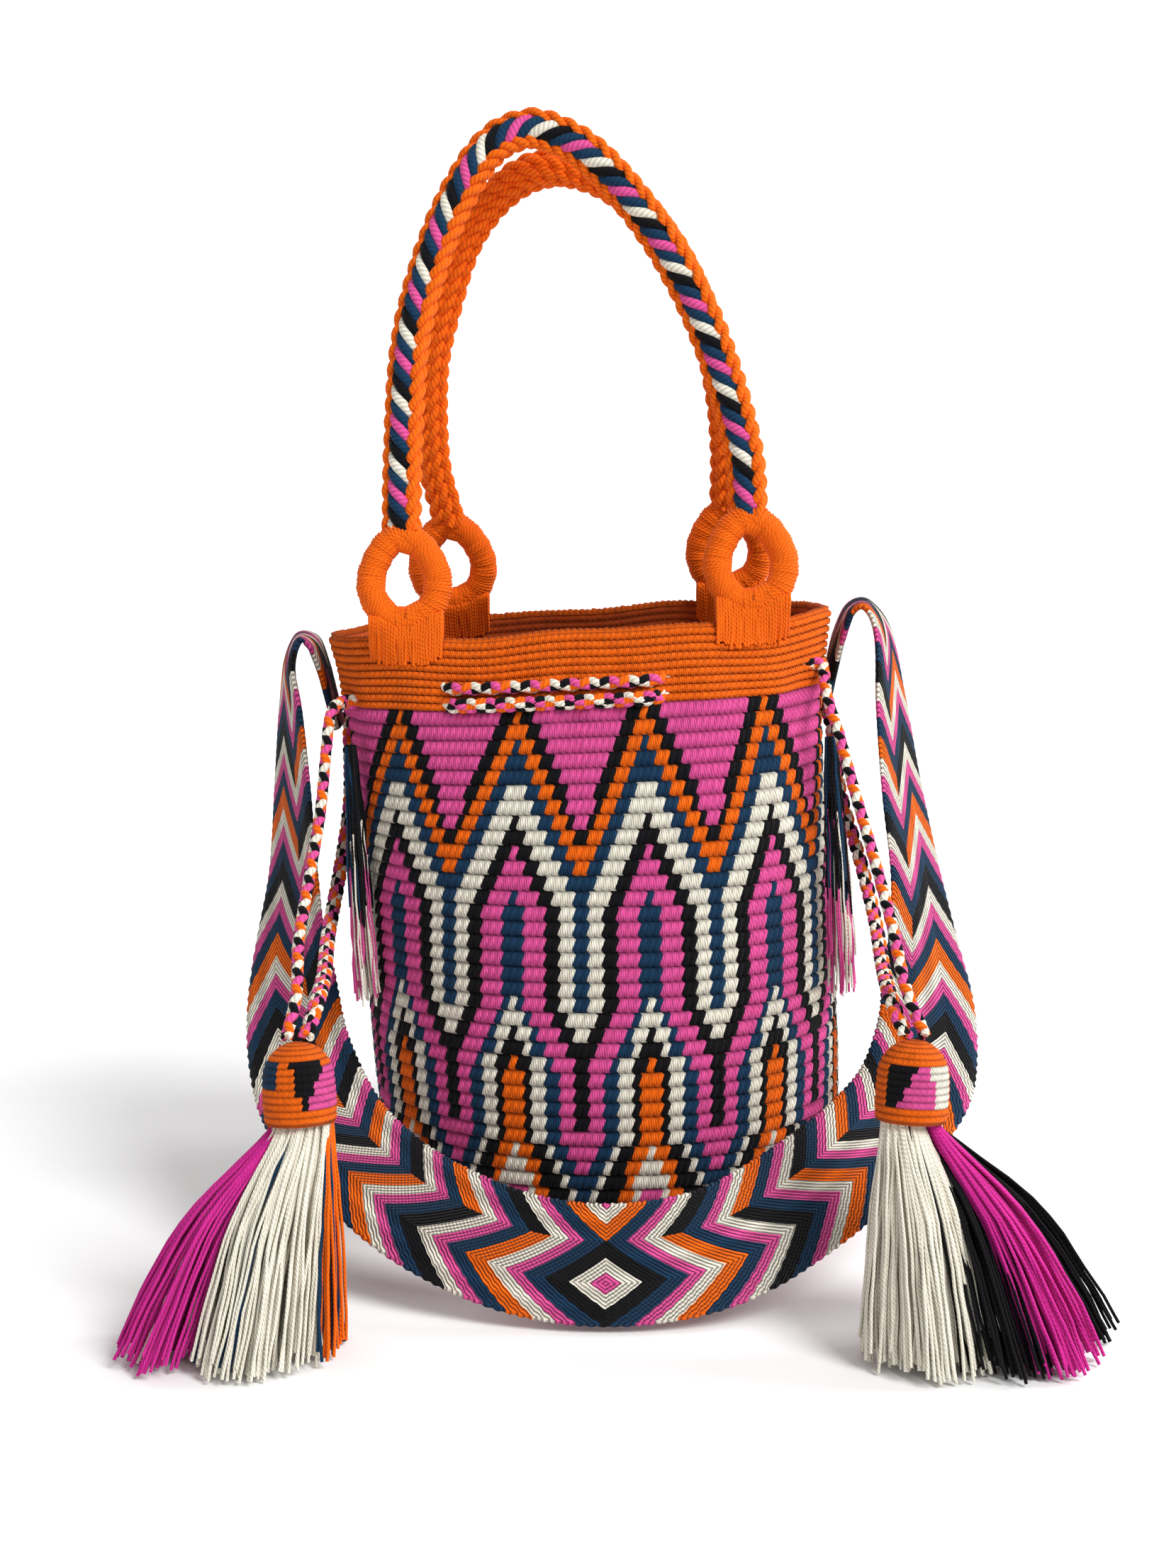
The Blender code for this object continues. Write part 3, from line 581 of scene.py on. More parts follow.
def rimWave(share, z):
    # the soft rim rises and falls a little between the things sewn to it
    wave = 0.55 * np.sin(2 * math.pi * (5 * share + 0.1)) + 0.45 * np.sin(2 * math.pi * (9 * share + 0.45))
    return crochet["rimWave"] * wave * smooth((z - 0.245) / 0.045)


def puckers(share, z):
    # the collar's folds where the drawstrings gather it
    fold = np.sin(2 * math.pi * 23 * share + 1.3 * np.sin(2 * math.pi * 4 * share))
    level = np.exp(-((z - crochet["puckerHeight"]) / 0.012) ** 2)
    return crochet["pucker"] * fold * level


def evenShares(samples):
    # shares of the way round, for stitches that each have samples points; the front's middle is 0
    count = crochet["stitches"]
    return ((np.arange(count)[:, None] + np.array(samples)[None, :]).ravel() - count / 2) / count


def stitchedGrid(levels, shares):
    # levels: height, distance outwards, lean, height of relief, row number; one ring of points each
    rings, rim = [], bagShape["rimHeight"]
    for z, out, lean, _, _ in levels:
        share = shares + lean / crochet["stitches"]
        height = min(max(z, 0.0), rim)
        points = bagPoint(roundAngles(height, share), height, out)
        points[:, 2] += z - height
        points[:, 2] += rimWave(share, z)
        normal = points[:, :2] - np.array([[bagShape["mouthShift"] * z / rim, 0]])
        normal = normal / np.linalg.norm(normal, axis=1)[:, None]
        points[:, :2] += normal * puckers(share, z)[:, None]
        rings.append(points)
    return np.array(rings), np.array([level[3] for level in levels])


def meshFromGrid(name, grid, uv, colours, wrap=False):
    rows, columns = grid.shape[:2]
    mesh = bpy.data.meshes.new(name)
    index = np.arange(rows * columns).reshape(rows, columns)
    if wrap:
        index = np.concatenate([index, index[:, :1]], axis=1)
    a, b = index[:-1, :-1].ravel(), index[:-1, 1:].ravel()
    c, d = index[1:, 1:].ravel(), index[1:, :-1].ravel()
    faces = np.stack([a, d, c, b], axis=1)
    mesh.vertices.add(rows * columns)
    mesh.vertices.foreach_set("co", grid.reshape(-1))
    mesh.loops.add(faces.size)
    mesh.loops.foreach_set("vertex_index", faces.ravel())
    mesh.polygons.add(len(faces))
    mesh.polygons.foreach_set("loop_start", np.arange(len(faces)) * 4)
    mesh.polygons.foreach_set("loop_total", np.full(len(faces), 4))
    mesh.polygons.foreach_set("use_smooth", np.ones(len(faces), bool))
    mesh.update(calc_edges=True)
    if uv is not None:
        across, down = uv
        acrossNext = np.concatenate([across[1:], [across[-1] + across[1] - across[0]]]) if wrap else across
        layer = mesh.uv_layers.new(name="stitch")
        left, right = (across, acrossNext) if wrap else (across[:-1], across[1:])
        high, low = down[:-1], down[1:]
        shape = (len(high), len(left))
        corner = np.stack([
            np.stack([np.broadcast_to(left, shape), np.broadcast_to(high[:, None], shape)], -1),
            np.stack([np.broadcast_to(left, shape), np.broadcast_to(low[:, None], shape)], -1),
            np.stack([np.broadcast_to(right, shape), np.broadcast_to(low[:, None], shape)], -1),
            np.stack([np.broadcast_to(right, shape), np.broadcast_to(high[:, None], shape)], -1)], axis=2)
        layer.data.foreach_set("uv", corner.reshape(-1).astype(np.float32))
    if colours is not None:
        shade = mesh.color_attributes.new("yarnColour", "FLOAT_COLOR", "CORNER")
        flat = np.concatenate([colours.reshape(-1, 3), np.ones((len(faces), 1))], axis=1)
        shade.data.foreach_set("color", np.repeat(flat, 4, axis=0).reshape(-1).astype(np.float32))
    return mesh


def gridNormals(grid):
    # the grid's columns go all the way round
    normal = np.cross(np.gradient(grid, axis=0), np.roll(grid, -1, axis=1) - np.roll(grid, 1, axis=1))
    return normal / np.maximum(np.linalg.norm(normal, axis=2), 1e-12)[:, :, None]


def wallLevels():
    # rings of points from the inside of the rim, over it and down the outside to the middle of the base
    levels = []
    rim, wall = bagShape["rimHeight"], bagShape["wall"]
    for k, (out, rise) in enumerate(((-1.0, -0.001), (-0.86, 0.0008), (-0.5, 0.0015), (-0.14, 0.0010))):
        levels.append((rim + rise, wall * out, 0.1 * k, 0.5, 0.01 * k + 0.001 - crochet["collarRows"] - 1))
    for row in range(crochet["collarRows"]):
        for v, lean, lift in crochet["downRow"]:
            levels.append((rim - (row + v) * collarRowHeight, 0.0, -lean * crochet["lean"], lift * 0.9,
                           row + v - crochet["collarRows"]))
    for row in range(crochet["patternRows"]):
        for v, lean, lift in crochet["downRow"]:
            z = float(np.interp((row + v) * patternRowHeight, wallRun, wallHeights))
            levels.append((z, 0.0, -lean * crochet["lean"] - crochet["drift"] * (row + v), lift, row + v))
    levels.append((0.0, 0.0, -crochet["drift"] * crochet["patternRows"], 0.0, crochet["patternRows"]))
    return levels


def colourGrid(levels, stitchOf):
    colours = np.zeros((len(levels) - 1, len(stitchOf), 3))
    cache = {}
    for k, level in enumerate(levels[:-1]):
        row = math.floor(level[4] + 1e-6)
        if row not in cache:
            cache[row] = [yarnColours[patternYarn(row, s)] for s in range(crochet["stitches"])]
        for j, stitch in enumerate(stitchOf):
            colours[k, j] = cache[row][stitch]
    return colours


def buildWall():
    count = crochet["stitches"]
    levels = wallLevels()
    samples, heights = np.array(crochet["acrossStitch"]).T
    grid, lifts = stitchedGrid(levels, evenShares(samples))
    normals = gridNormals(grid)
    relief = crochet["relief"] * (lifts[:, None] * (0.5 + 0.5 * np.tile(heights, count)[None, :]))
    uneven = np.random.default_rng(4).standard_normal((len(levels), count)).repeat(4, axis=1)
    relief += crochet["uneven"] * uneven
    grid = grid + normals * (relief - 0.0006)[:, :, None]
    stitchOf = np.repeat(np.arange(count), 4)
    colours = colourGrid(levels, stitchOf)
    down = np.array([level[4] for level in levels])
    across = (np.arange(count)[:, None] + samples[None, :]).ravel()
    half = 4 * (count // 2)
    grid = np.concatenate([grid, grid[:, :1]], axis=1)
    across = np.append(across, float(count))
    for label, first, last in (("left", 0, half), ("right", half, 4 * count)):
        mesh = meshFromGrid("wall_" + label, grid[:, first:last + 1], (across[first:last + 1], down),
                            colours[:, first:last])
        mesh.materials.append(crochetMaterial)
        wall = joinMeshes("wall_" + label, [mesh])
        putOn(wall, "bag", "body_crochet", *(["bag_body"] if label == "left" else []))


def buildBase():
    # flat round base, worked in rings from the middle
    count, rings = crochet["stitches"], crochet["baseRows"]
    levels, grid = [], []
    edge = bagPoint(roundAngles(0.0, evenShares((0.0, 0.5))), 0.0)
    for ring in range(rings):
        for v, lift in ((0.0, 0.0), (0.3, 0.9), (0.7, 1.0)):
            share = 1 - (ring + v) / rings
            levels.append((0, 0, 0, lift, crochet["patternRows"] + ring + v))
            grid.append(edge * share + np.array([0, 0, 0.0016 - 0.0012 * lift]))
    levels.append((0, 0, 0, 0, crochet["patternRows"] + rings))
    grid.append(edge * 0.004 + np.array([0, 0, 0.0016]))
    grid = np.array(grid)
    grid[:, ::2, 2] += 0.0003
    grid[:, :, 2] = np.maximum(grid[:, :, 2], 0.0)
    grid[0, :, 2] = 0.0004
    colours = colourGrid(levels, np.repeat(np.arange(count), 2))
    down = np.array([level[4] for level in levels])
    mesh = meshFromGrid("base", grid, (np.arange(2 * count) / 2, down), colours, wrap=True)
    mesh.materials.append(crochetMaterial)
    base = joinMeshes("base", [mesh])
    putOn(base, "bag", "body_crochet")


def buildLining():
    # the inside of the wall and the base, where the carried yarns blur the pattern
    count, wall, rim = crochet["stitches"], bagShape["wall"], bagShape["rimHeight"]
    levels = []
    for row in range(crochet["collarRows"]):
        for v, lift in ((0.0, 0.0), (0.35, 0.9), (0.7, 0.9)):
            levels.append((rim - 0.001 - (row + v) * collarRowHeight, -wall + 0.0002, 0.0, lift,
                           row + v - crochet["collarRows"]))
    for row in range(crochet["patternRows"]):
        for v, lift in ((0.0, 0.1), (0.5, 1.0)):
            z = float(np.interp((row + v) * patternRowHeight, wallRun, wallHeights))
            levels.append((max(z, 0.004), -wall, 0.0, lift, row + v))
    grid, lifts = stitchedGrid(levels, evenShares((0.0, 0.5)))
    normals = gridNormals(grid)
    ridge = np.tile([0.2, 1.0], count)
    grid = grid - normals * (0.0008 * lifts[:, None] * ridge[None, :])[:, :, None]
    inner = [grid[-1] * np.array([s, s, 0]) + np.array([0, 0, 0.0045]) for s in (0.85, 0.6, 0.3, 0.004)]
    grid = np.concatenate([grid, np.array(inner)])
    levels += [(0, 0, 0, 0, crochet["patternRows"] + k) for k in (2, 5, 9, 12)]
    colours = colourGrid(levels, np.repeat(np.arange(count), 2))
    colours = 0.8 * colours + 0.2 * np.array(yarnColours["navy"])
    down = np.array([level[4] for level in levels])
    mesh = meshFromGrid("lining", grid[::-1], (np.arange(2 * count) / 2, down[::-1]), colours[::-1], wrap=True)
    mesh.materials.append(crochetMaterial)
    lining = joinMeshes("lining", [mesh])
    putOn(lining, "bag", "body_crochet")


buildWall()
buildBase()
buildLining()
print("crocheted bag ready")


# The woven shoulder strap.
strapShape = {
    "flatWidth": 0.053, "thickness": 0.0036, "bandPeriod": 0.0356, "zigzag": 0.025, "ridge": 0.0024,
    "bands": (0.0, 0.211, 0.449, 0.742), "bump": 1.0, "bumpDistance": 0.0011, "scallop": 0.012, "scallopPitch": 0.0044,
    "stations": [  # middle of the band, direction to its lower edge, width
        ((0.1004, 0.0010, 0.2500), (0.0, 1.0, 0.0), 0.034), ((0.1046, 0.0010, 0.2720), (0.0, 1.0, 0.0), 0.036),
        ((0.1082, 0.0000, 0.2880), (0.0, 1.0, 0.0), 0.038), ((0.1135, -0.0010, 0.3005), (0.05, 1.0, 0.0), 0.041),
        ((0.1215, -0.0025, 0.3020), (0.12, 1.0, 0.0), 0.044), ((0.1290, -0.0045, 0.2880), (0.25, 1.0, 0.0), 0.048),
        ((0.1330, -0.0070, 0.2560), (0.36, 0.93, 0.0), 0.052), ((0.1385, -0.0100, 0.2150), (0.45, 0.89, 0.0), 0.053),
        ((0.1460, -0.0140, 0.1700), (0.55, 0.83, 0.0), 0.053),
        ((0.1500, -0.0220, 0.1300), (0.75, 0.62, 0.10), 0.053),
        ((0.1495, -0.0430, 0.1010), (0.90, 0.15, -0.35), 0.053),
        ((0.1390, -0.0730, 0.0810), (0.75, -0.45, -0.45), 0.053),
        ((0.1165, -0.1030, 0.0660), (0.45, -0.70, -0.55), 0.053),
        ((0.0850, -0.1340, 0.0500), (0.22, -0.60, -0.76), 0.053),
        ((0.0450, -0.1570, 0.0340), (0.07, -0.45, -0.88), 0.053),
        ((0.0020, -0.1650, 0.0280), (0.0, -0.38, -0.93), 0.053),
        ((-0.0400, -0.1590, 0.0300), (-0.07, -0.45, -0.88), 0.053),
        ((-0.0800, -0.1405, 0.0400), (-0.22, -0.60, -0.76), 0.053),
        ((-0.1120, -0.1120, 0.0530), (-0.45, -0.70, -0.55), 0.053),
        ((-0.1370, -0.0780, 0.0680), (-0.75, -0.45, -0.45), 0.053),
        ((-0.1530, -0.0450, 0.0910), (-0.90, 0.15, -0.35), 0.053),
        ((-0.1590, -0.0200, 0.1280), (-0.75, 0.62, 0.10), 0.053),
        ((-0.1580, -0.0110, 0.1700), (-0.55, 0.83, 0.0), 0.053),
        ((-0.1580, -0.0080, 0.2150), (-0.42, 0.90, 0.0), 0.053),
        ((-0.1585, -0.0060, 0.2520), (-0.30, 0.95, 0.0), 0.051), ((-0.1590, -0.0040, 0.2730), (-0.18, 1.0, 0.0), 0.047),
        ((-0.1545, -0.0020, 0.2860), (-0.10, 1.0, 0.0), 0.044), ((-0.1475, -0.0010, 0.2840), (0.0, 1.0, 0.0), 0.041),
        ((-0.1430, 0.0000, 0.2730), (0.0, 1.0, 0.0), 0.038), ((-0.1400, 0.0010, 0.2610), (0.0, 1.0, 0.0), 0.036),
        ((-0.1358, 0.0010, 0.2430), (0.0, 1.0, 0.0), 0.034),
    ],
}


def makeStrapMaterial():
    material = newMaterial("strapWeave")
    tree = material.node_tree
    place = split(tree, addNode(tree, "ShaderNodeUVMap", uv_map="strap").outputs[0])
    # bands that fold back and forth across the strap and mirror about its middle
    upward = mathNode(tree, "DIVIDE", mathNode(tree, "ADD", place[1], 0.06), 0.36)
    fold = mathNode(tree, "PINGPONG", upward, 1.0)
    fromMiddle = mathNode(tree, "ADD", mathNode(tree, "ABSOLUTE", place[0]), 0.001)
    band = mathNode(tree, "MULTIPLY_ADD", fold, strapShape["zigzag"], fromMiddle)
    count = mathNode(tree, "DIVIDE", band, strapShape["bandPeriod"])
    share = mathNode(tree, "FRACT", count)
    odd = mathNode(tree, "MODULO", mathNode(tree, "FLOOR", count), 2.0)
    upper = mathNode(tree, "LESS_THAN", place[1], 0.30)
    dark = mathNode(tree, "ABSOLUTE", mathNode(tree, "SUBTRACT", mathNode(tree, "SUBTRACT", 1.0, odd), upper))
    pick = addNode(tree, "ShaderNodeMix", data_type="RGBA")
    tree.links.new(dark, pick.inputs[0])
    for socket, third in ((6, "orange"), (7, "black")):
        ramp = tree.nodes.new("ShaderNodeValToRGB")
        ramp.color_ramp.interpolation = "CONSTANT"
        elements = ramp.color_ramp.elements
        for start, yarn in zip(strapShape["bands"], ("pink", "cream", third, "navy")):
            element = elements[0] if start == 0.0 else elements.new(start)
            element.position = start
            element.color = (*yarnColours[yarn], 1)
        elements.remove(elements[-1])
        tree.links.new(share, ramp.inputs[0])
        tree.links.new(ramp.outputs[0], pick.inputs[socket])
    # ridges along the bands, plies that lean over them, loose fibres, and painted shade between the ridges
    ridges = mathNode(tree, "ABSOLUTE", mathNode(
        tree, "SINE", mathNode(tree, "DIVIDE", band, strapShape["ridge"] / math.pi)))
    plies = mathNode(tree, "SINE", mathNode(
        tree, "MULTIPLY_ADD", place[1], 150.0, mathNode(tree, "MULTIPLY", place[0], 2600.0)))
    fibres = noiseOver(tree, 2000, 3)
    height = mathNode(tree, "MULTIPLY_ADD", plies, 0.20, ridges)
    height = mathNode(tree, "MULTIPLY_ADD", fibres, 0.5, height)
    # painted shade: the colour darkens between the ridges, and the fibres make its tone uneven
    shade = mathNode(tree, "MULTIPLY_ADD", ridges, 0.72, 0.36)
    shade = mathNode(tree, "MULTIPLY_ADD", mathNode(tree, "SUBTRACT", fibres, 0.5), 0.35, shade)
    finishMaterial(material, shadeColour(tree, pick.outputs[2], shade), height, strapShape["bump"],
                   strapShape["bumpDistance"])
    return material


def buildStrap():
    packed = spline([(*middle, *edge, width) for middle, edge, width in strapShape["stations"]], 14)
    packed, _ = evenly(packed, 0.0025)
    middle, edge, width = packed[:, :3], packed[:, 3:6], packed[:, 6]
    run = np.concatenate([[0], np.cumsum(np.linalg.norm(np.diff(middle, axis=0), axis=1))])
    tangent = np.gradient(middle, axis=0)
    tangent /= np.linalg.norm(tangent, axis=1)[:, None]
    edge = edge - tangent * np.sum(edge * tangent, axis=1)[:, None]
    edge /= np.linalg.norm(edge, axis=1)[:, None]
    face = np.cross(tangent, edge)
    bottom = np.argmin(middle[:, 2] + 10 * (middle[:, 2] > 0.2))
    lengthwise = run - run[bottom] + 0.002
    half = strapShape["thickness"] / 2
    # the cross-section: place across, place through the thickness, share of the way across
    ring = []
    for side, across in ((1, np.linspace(-1, 1, 25)), (-1, np.linspace(1, -1, 25))):
        ring += [(v * (1 - 0.045), side * (1 - 0.55 * max(0, abs(v) - 0.9) * 10), (v + 1) / 2) for v in across]
        ring.append((float(side), 0.0, (side + 1) / 2))
    scallop = 1 + strapShape["scallop"] * np.sin(2 * math.pi * run / strapShape["scallopPitch"])
    grid = np.stack([middle + edge * (width / 2 * a * scallop)[:, None] + face * half * b for a, b, _ in ring], axis=1)
    mesh = meshFromGrid("strap", grid[:, ::-1], None, None, wrap=True)
    layer = mesh.uv_layers.new(name="strap")
    vOf = np.array([v for _, _, v in ring])[::-1]
    n, m = grid.shape[:2]
    shape = (n - 1, m)
    left, right = np.broadcast_to(vOf, shape), np.broadcast_to(np.roll(vOf, -1), shape)
    low, high = np.broadcast_to(lengthwise[1:, None], shape), np.broadcast_to(lengthwise[:-1, None], shape)
    corner = np.stack([np.stack([high, left], -1), np.stack([low, left], -1),
                       np.stack([low, right], -1), np.stack([high, right], -1)], axis=2)
    layer.data.foreach_set("uv", corner.reshape(-1).astype(np.float32))
    bm = bmesh.new()
    bm.from_mesh(mesh)
    bm.verts.ensure_lookup_table()
    bm.faces.new([bm.verts[k] for k in range(m)])
    bm.faces.new([bm.verts[(n - 1) * m + k] for k in range(m)][::-1])
    bmesh.ops.recalc_face_normals(bm, faces=bm.faces)
    bm.to_mesh(mesh)
    bm.free()
    mesh.materials.append(makeStrapMaterial())
    strap = joinMeshes("strap", [mesh])
    putOn(strap, "bag", "strap_weave", "shoulder_strap")
    print(f"strap {run[-1]:.3f} m long")


buildStrap()


# The rope handles, their loops and the stitches that tie them down.
handleShape = {
    "frontHinge": (-0.018, -0.0522, 0.3037), "rearHinge": (-0.018, 0.0548, 0.3037), "lean": math.radians(10.5),
    "pitch": 0.031, "ropeStrand": 0.00255, "ropeCore": 0.0040, "stripes": ("cream", "navy", "pink", "navy", "black"),
    "faceTurn": {"front": 0.50, "rear": -1.6}, "edgePitch": 0.016, "edgeReach": 0.0063, "edgePly": 0.0019,
    "edgeAngles": (80, 120, 160, 200, 240, 280), "archFoot": 0.0400,
    "loopTube": 0.0064, "loopHeight": 0.039, "loopHalfWidth": 0.016, "wrapPitch": 0.00130, "wrapYarn": 0.00105,
    "wrapPoints": 14,
    "frontArch": [
        (-0.0805, 0.0462), (-0.0785, 0.077), (-0.0735, 0.124), (-0.0645, 0.158), (-0.0500, 0.192),
        (-0.0320, 0.218), (-0.0150, 0.2265), (-0.0010, 0.224), (0.0160, 0.213), (0.0330, 0.193),
        (0.0495, 0.167), (0.0635, 0.136), (0.0735, 0.103), (0.0800, 0.070), (0.0805, 0.0462)],
    "rearArch": [
        (-0.0635, 0.0462), (-0.0680, 0.074), (-0.0655, 0.118), (-0.0560, 0.151), (-0.0440, 0.180),
        (-0.0260, 0.201), (-0.0050, 0.2105), (0.0180, 0.206), (0.0400, 0.189), (0.0580, 0.162),
        (0.0700, 0.130), (0.0760, 0.098), (0.0775, 0.070), (0.0765, 0.0462)],
}


def handleFrame(front):
    side = -1 if front else 1
    hinge = Vector(handleShape["frontHinge"] if front else handleShape["rearHinge"])
    turn = Matrix.Rotation(-math.atan(bagShape["rimSlope"]), 4, "Y") @ Matrix.Rotation(
        side * handleShape["lean"], 4, "X")
    plane = Matrix.Rotation(math.pi / 2, 4, "X") if front else Matrix(
        ((1, 0, 0, 0), (0, 0, 1, 0), (0, 1, 0, 0), (0, 0, 0, 1)))
    return np.array(Matrix.Translation(hinge) @ turn @ plane)


def intoFrame(matrix, points):
    points = np.asarray(points, float)
    return points @ matrix[:3, :3].T + matrix[:3, 3]


def buildHandle(name, front):
    matrix = handleFrame(front)
    arch = handleShape["frontArch" if front else "rearArch"]
    reached = [(arch[0][0], handleShape["archFoot"]), *arch, (arch[-1][0], handleShape["archFoot"])]
    flat, run = evenly(spline([(x, y, 0.0) for x, y in reached], 12), 0.0016)
    path = intoFrame(matrix, flat)
    side, other = framesAlong(path, matrix[:3, 2])
    # the striped face turns to one side along both legs
    turned = np.arctan(-handleShape["faceTurn"][name] * other[:, 0])[:, None]
    side, other = side * np.cos(turned) + other * np.sin(turned), other * np.cos(turned) - side * np.sin(turned)
    body = name + "_handle"
    way = -1 if front else 1
    meshes = []
    for k, yarn in enumerate(handleShape["stripes"]):
        angle = way * 2 * math.pi * (run / handleShape["pitch"] + k / 5)
        meshes.append(spinYarn([around(path, side, other, handleShape["ropeCore"], angle)],
                               handleShape["ropeStrand"], yarn, sides=10))
    meshes.append(spinYarn([path], 0.0030, "navy"))  # fills the rope's core
    rope = joinMeshes(body + "_rope", meshes)
    putOn(rope, body, "rope_yarn", body + "_rope")
    plies = []
    for count, degrees in enumerate(handleShape["edgeAngles"]):
        turn = math.radians(degrees)
        middle = around(path, side, other, handleShape["edgeReach"], np.full(len(run), turn))
        outward = side * math.cos(turn) + other * math.sin(turn)
        sideways = other * math.cos(turn) - side * math.sin(turn)
        for ply in (0, 1):
            angle = 2 * math.pi * run / handleShape["edgePitch"] + math.pi * ply + 1.6 * count
            plies.append(around(middle, outward, sideways, handleShape["edgePly"] * 0.85, angle))
    edging = joinMeshes(body + "_edging", [spinYarn(plies, handleShape["edgePly"], "orange", sides=8)])
    putOn(edging, body, "orange_yarn", body + "_binding")
    for end, label in ((arch[0][0], "left"), (arch[-1][0], "right")):
        buildLoop(f"{name}_{label}", matrix, end, body)
        buildWhipping(f"{name}_{label}", matrix, end, front)


def loopLine(middle, count=120):
    turn = np.linspace(0, 2 * math.pi, count, endpoint=False)
    up = handleShape["loopHeight"] / 2 * (1 - np.cos(turn))
    up = np.maximum(up - 0.0010, 0) * handleShape["loopHeight"] / (handleShape["loopHeight"] - 0.0010)
    narrow = 1 - 0.20 * smooth((up / handleShape["loopHeight"] - 0.35) * 1.5)
    return np.stack([middle + handleShape["loopHalfWidth"] * np.sin(turn) * narrow, up, np.zeros(count)], axis=1)


def buildLoop(name, matrix, middle, body):
    line = loopLine(middle)
    ringPath = np.concatenate([line, line[:1]])
    flat, run = evenly(ringPath, 0.0001)
    turns = round(run[-1] / handleShape["wrapPitch"])
    path = intoFrame(matrix, flat)
    tangent = np.roll(path, -1, axis=0) - np.roll(path, 1, axis=0)
    tangent[0] = tangent[-1] = path[1] - path[-2]
    tangent /= np.linalg.norm(tangent, axis=1)[:, None]
    side = np.broadcast_to(matrix[:3, 2], path.shape)
    other = np.cross(tangent, side)
    at = np.linspace(0, run[-1], turns * handleShape["wrapPoints"] + 1)[:-1]
    pick = np.searchsorted(run, at).clip(0, len(run) - 1)
    thick = handleShape["loopTube"] - 0.0006 + 0.00018 * np.sin(at * 900) + 0.0001 * np.sin(at * 2310)
    wrap = around(path[pick], side[pick], other[pick], thick, 2 * math.pi * turns * at / run[-1])
    meshes = [spinYarn([wrap], handleShape["wrapYarn"], "orange", closed=True),
              spinYarn([path[::150]], handleShape["loopTube"] - 0.0004, "orange", sides=14, closed=True)]
    loop = joinMeshes(name + "_wrapped_loop", meshes)
    putOn(loop, body, "orange_yarn", name + "_loop")


footShape = {"stitches": 27, "width": 0.033, "yarn": 0.00088, "wobble": 0.0006, "proud": 0.0014, "below": 0.0180,
             "shorterAtSides": 0.0050, "ragged": 0.0025, "wander": 0.0004, "intoLoop": 0.0035, "rimBelow": 0.0097}


def buildWhipping(name, matrix, middle, front):
    # yarn passed through the loop's foot and the collar, side by side
    foot = intoFrame(matrix, [[middle, 0, 0]])[0]
    rng = random.Random(name)
    tilt = math.atan(bagShape["rimSlope"])
    half, reach = handleShape["loopHeight"] / 2, handleShape["loopTube"] - 0.0003
    stitches = []
    for k in range(footShape["stitches"]):
        x = footShape["width"] * (k / (footShape["stitches"] - 1) - 0.5)
        # the stitches start in the loop's own wrapping, so their tops follow its lower edge
        top = half - (half + footShape["intoLoop"]) * math.sqrt(1 - (min(abs(x), 0.0115) / 0.0195) ** 2)
        low = footShape["shorterAtSides"] * float(smooth((abs(x) - 0.010) / 0.012)) - footShape["below"]
        low -= rng.uniform(0, footShape["ragged"])
        wallZ = bagShape["rimHeight"] + low + footShape["rimBelow"]
        here, level = foot[0] + x * math.cos(tilt), foot[2] + x * math.sin(tilt)
        angle = np.array([angleAt(wallZ, x=here, front=front)])
        outer, inner = (float(bagPoint(angle, wallZ, out)[0][1]) - foot[1]
                        for out in (footShape["proud"], -bagShape["wall"] - footShape["proud"]))
        right, left = (inner, outer) if front else (outer, inner)
        line = [(right, low), (right * 0.5 + reach * 0.5 + 0.0006, (low + top) / 2), (reach, top),
                (reach * 0.55, top + 0.0022), (0, top + 0.0030), (-reach * 0.55, top + 0.0022), (-reach, top),
                (left * 0.5 - reach * 0.5 - 0.0006, (low + top) / 2), (left, low)]
        wander = rng.uniform(-footShape["wander"], footShape["wander"])
        points = [(here + wander * (1 if j % 2 else -1), foot[1] + y, level + z) for j, (y, z) in enumerate(line)]
        stitches.append(spline(points, 4))
    yarn = spinYarn(stitches, footShape["yarn"], "orange", wobble=footShape["wobble"], seed=rng.uniform(0, 9))
    putOn(joinMeshes(name + "_whipped_foot", [yarn]), "bag", "orange_yarn", name + "_whipping")


buildHandle("front", True)
buildHandle("rear", False)
print("handles ready")


# The drawstrings, and the tassels that they end in.
cordShape = {
    "radius": 0.0032, "gap": 0.0005, "lowRun": 0.2645, "highRun": 0.2722, "frontSlots": (-0.080, 0.021),
    "rearSlots": (0.030, -0.078), "sideSlot": 0.040, "crossing": 0.0165, "pitch": 0.0180, "strand": 0.00182,
    "reach": 0.00132, "sway": 0.00060,
    "yarns": ("pink", "black", "cream", "orange"),
    "leftFront": [(-0.1340, -0.0520, 0.2560), (-0.1355, -0.0640, 0.2380), (-0.1370, -0.0780, 0.2130),
                  (-0.1400, -0.1000, 0.1870), (-0.1420, -0.1280, 0.1640), (-0.1405, -0.1520, 0.1460)],
    "leftRear": [(-0.1335, 0.0370, 0.2560), (-0.1335, 0.0300, 0.2360), (-0.1320, 0.0120, 0.2050),
                 (-0.1345, -0.0130, 0.1760), (-0.1370, -0.0500, 0.1510), (-0.1340, -0.1000, 0.1420),
                 (-0.1325, -0.1450, 0.1400)],
    "rightFront": [(0.0975, -0.0540, 0.2640), (0.1020, -0.0660, 0.2480), (0.1080, -0.0800, 0.2240),
                   (0.1150, -0.1030, 0.1960), (0.1205, -0.1300, 0.1700), (0.1235, -0.1540, 0.1490)],
    "rightRear": [(0.1040, 0.0360, 0.2560), (0.1080, 0.0260, 0.2360), (0.1110, 0.0080, 0.2080),
                  (0.1180, -0.0180, 0.1800), (0.1215, -0.0550, 0.1580), (0.1200, -0.1000, 0.1460),
                  (0.1180, -0.1450, 0.1430)],
}

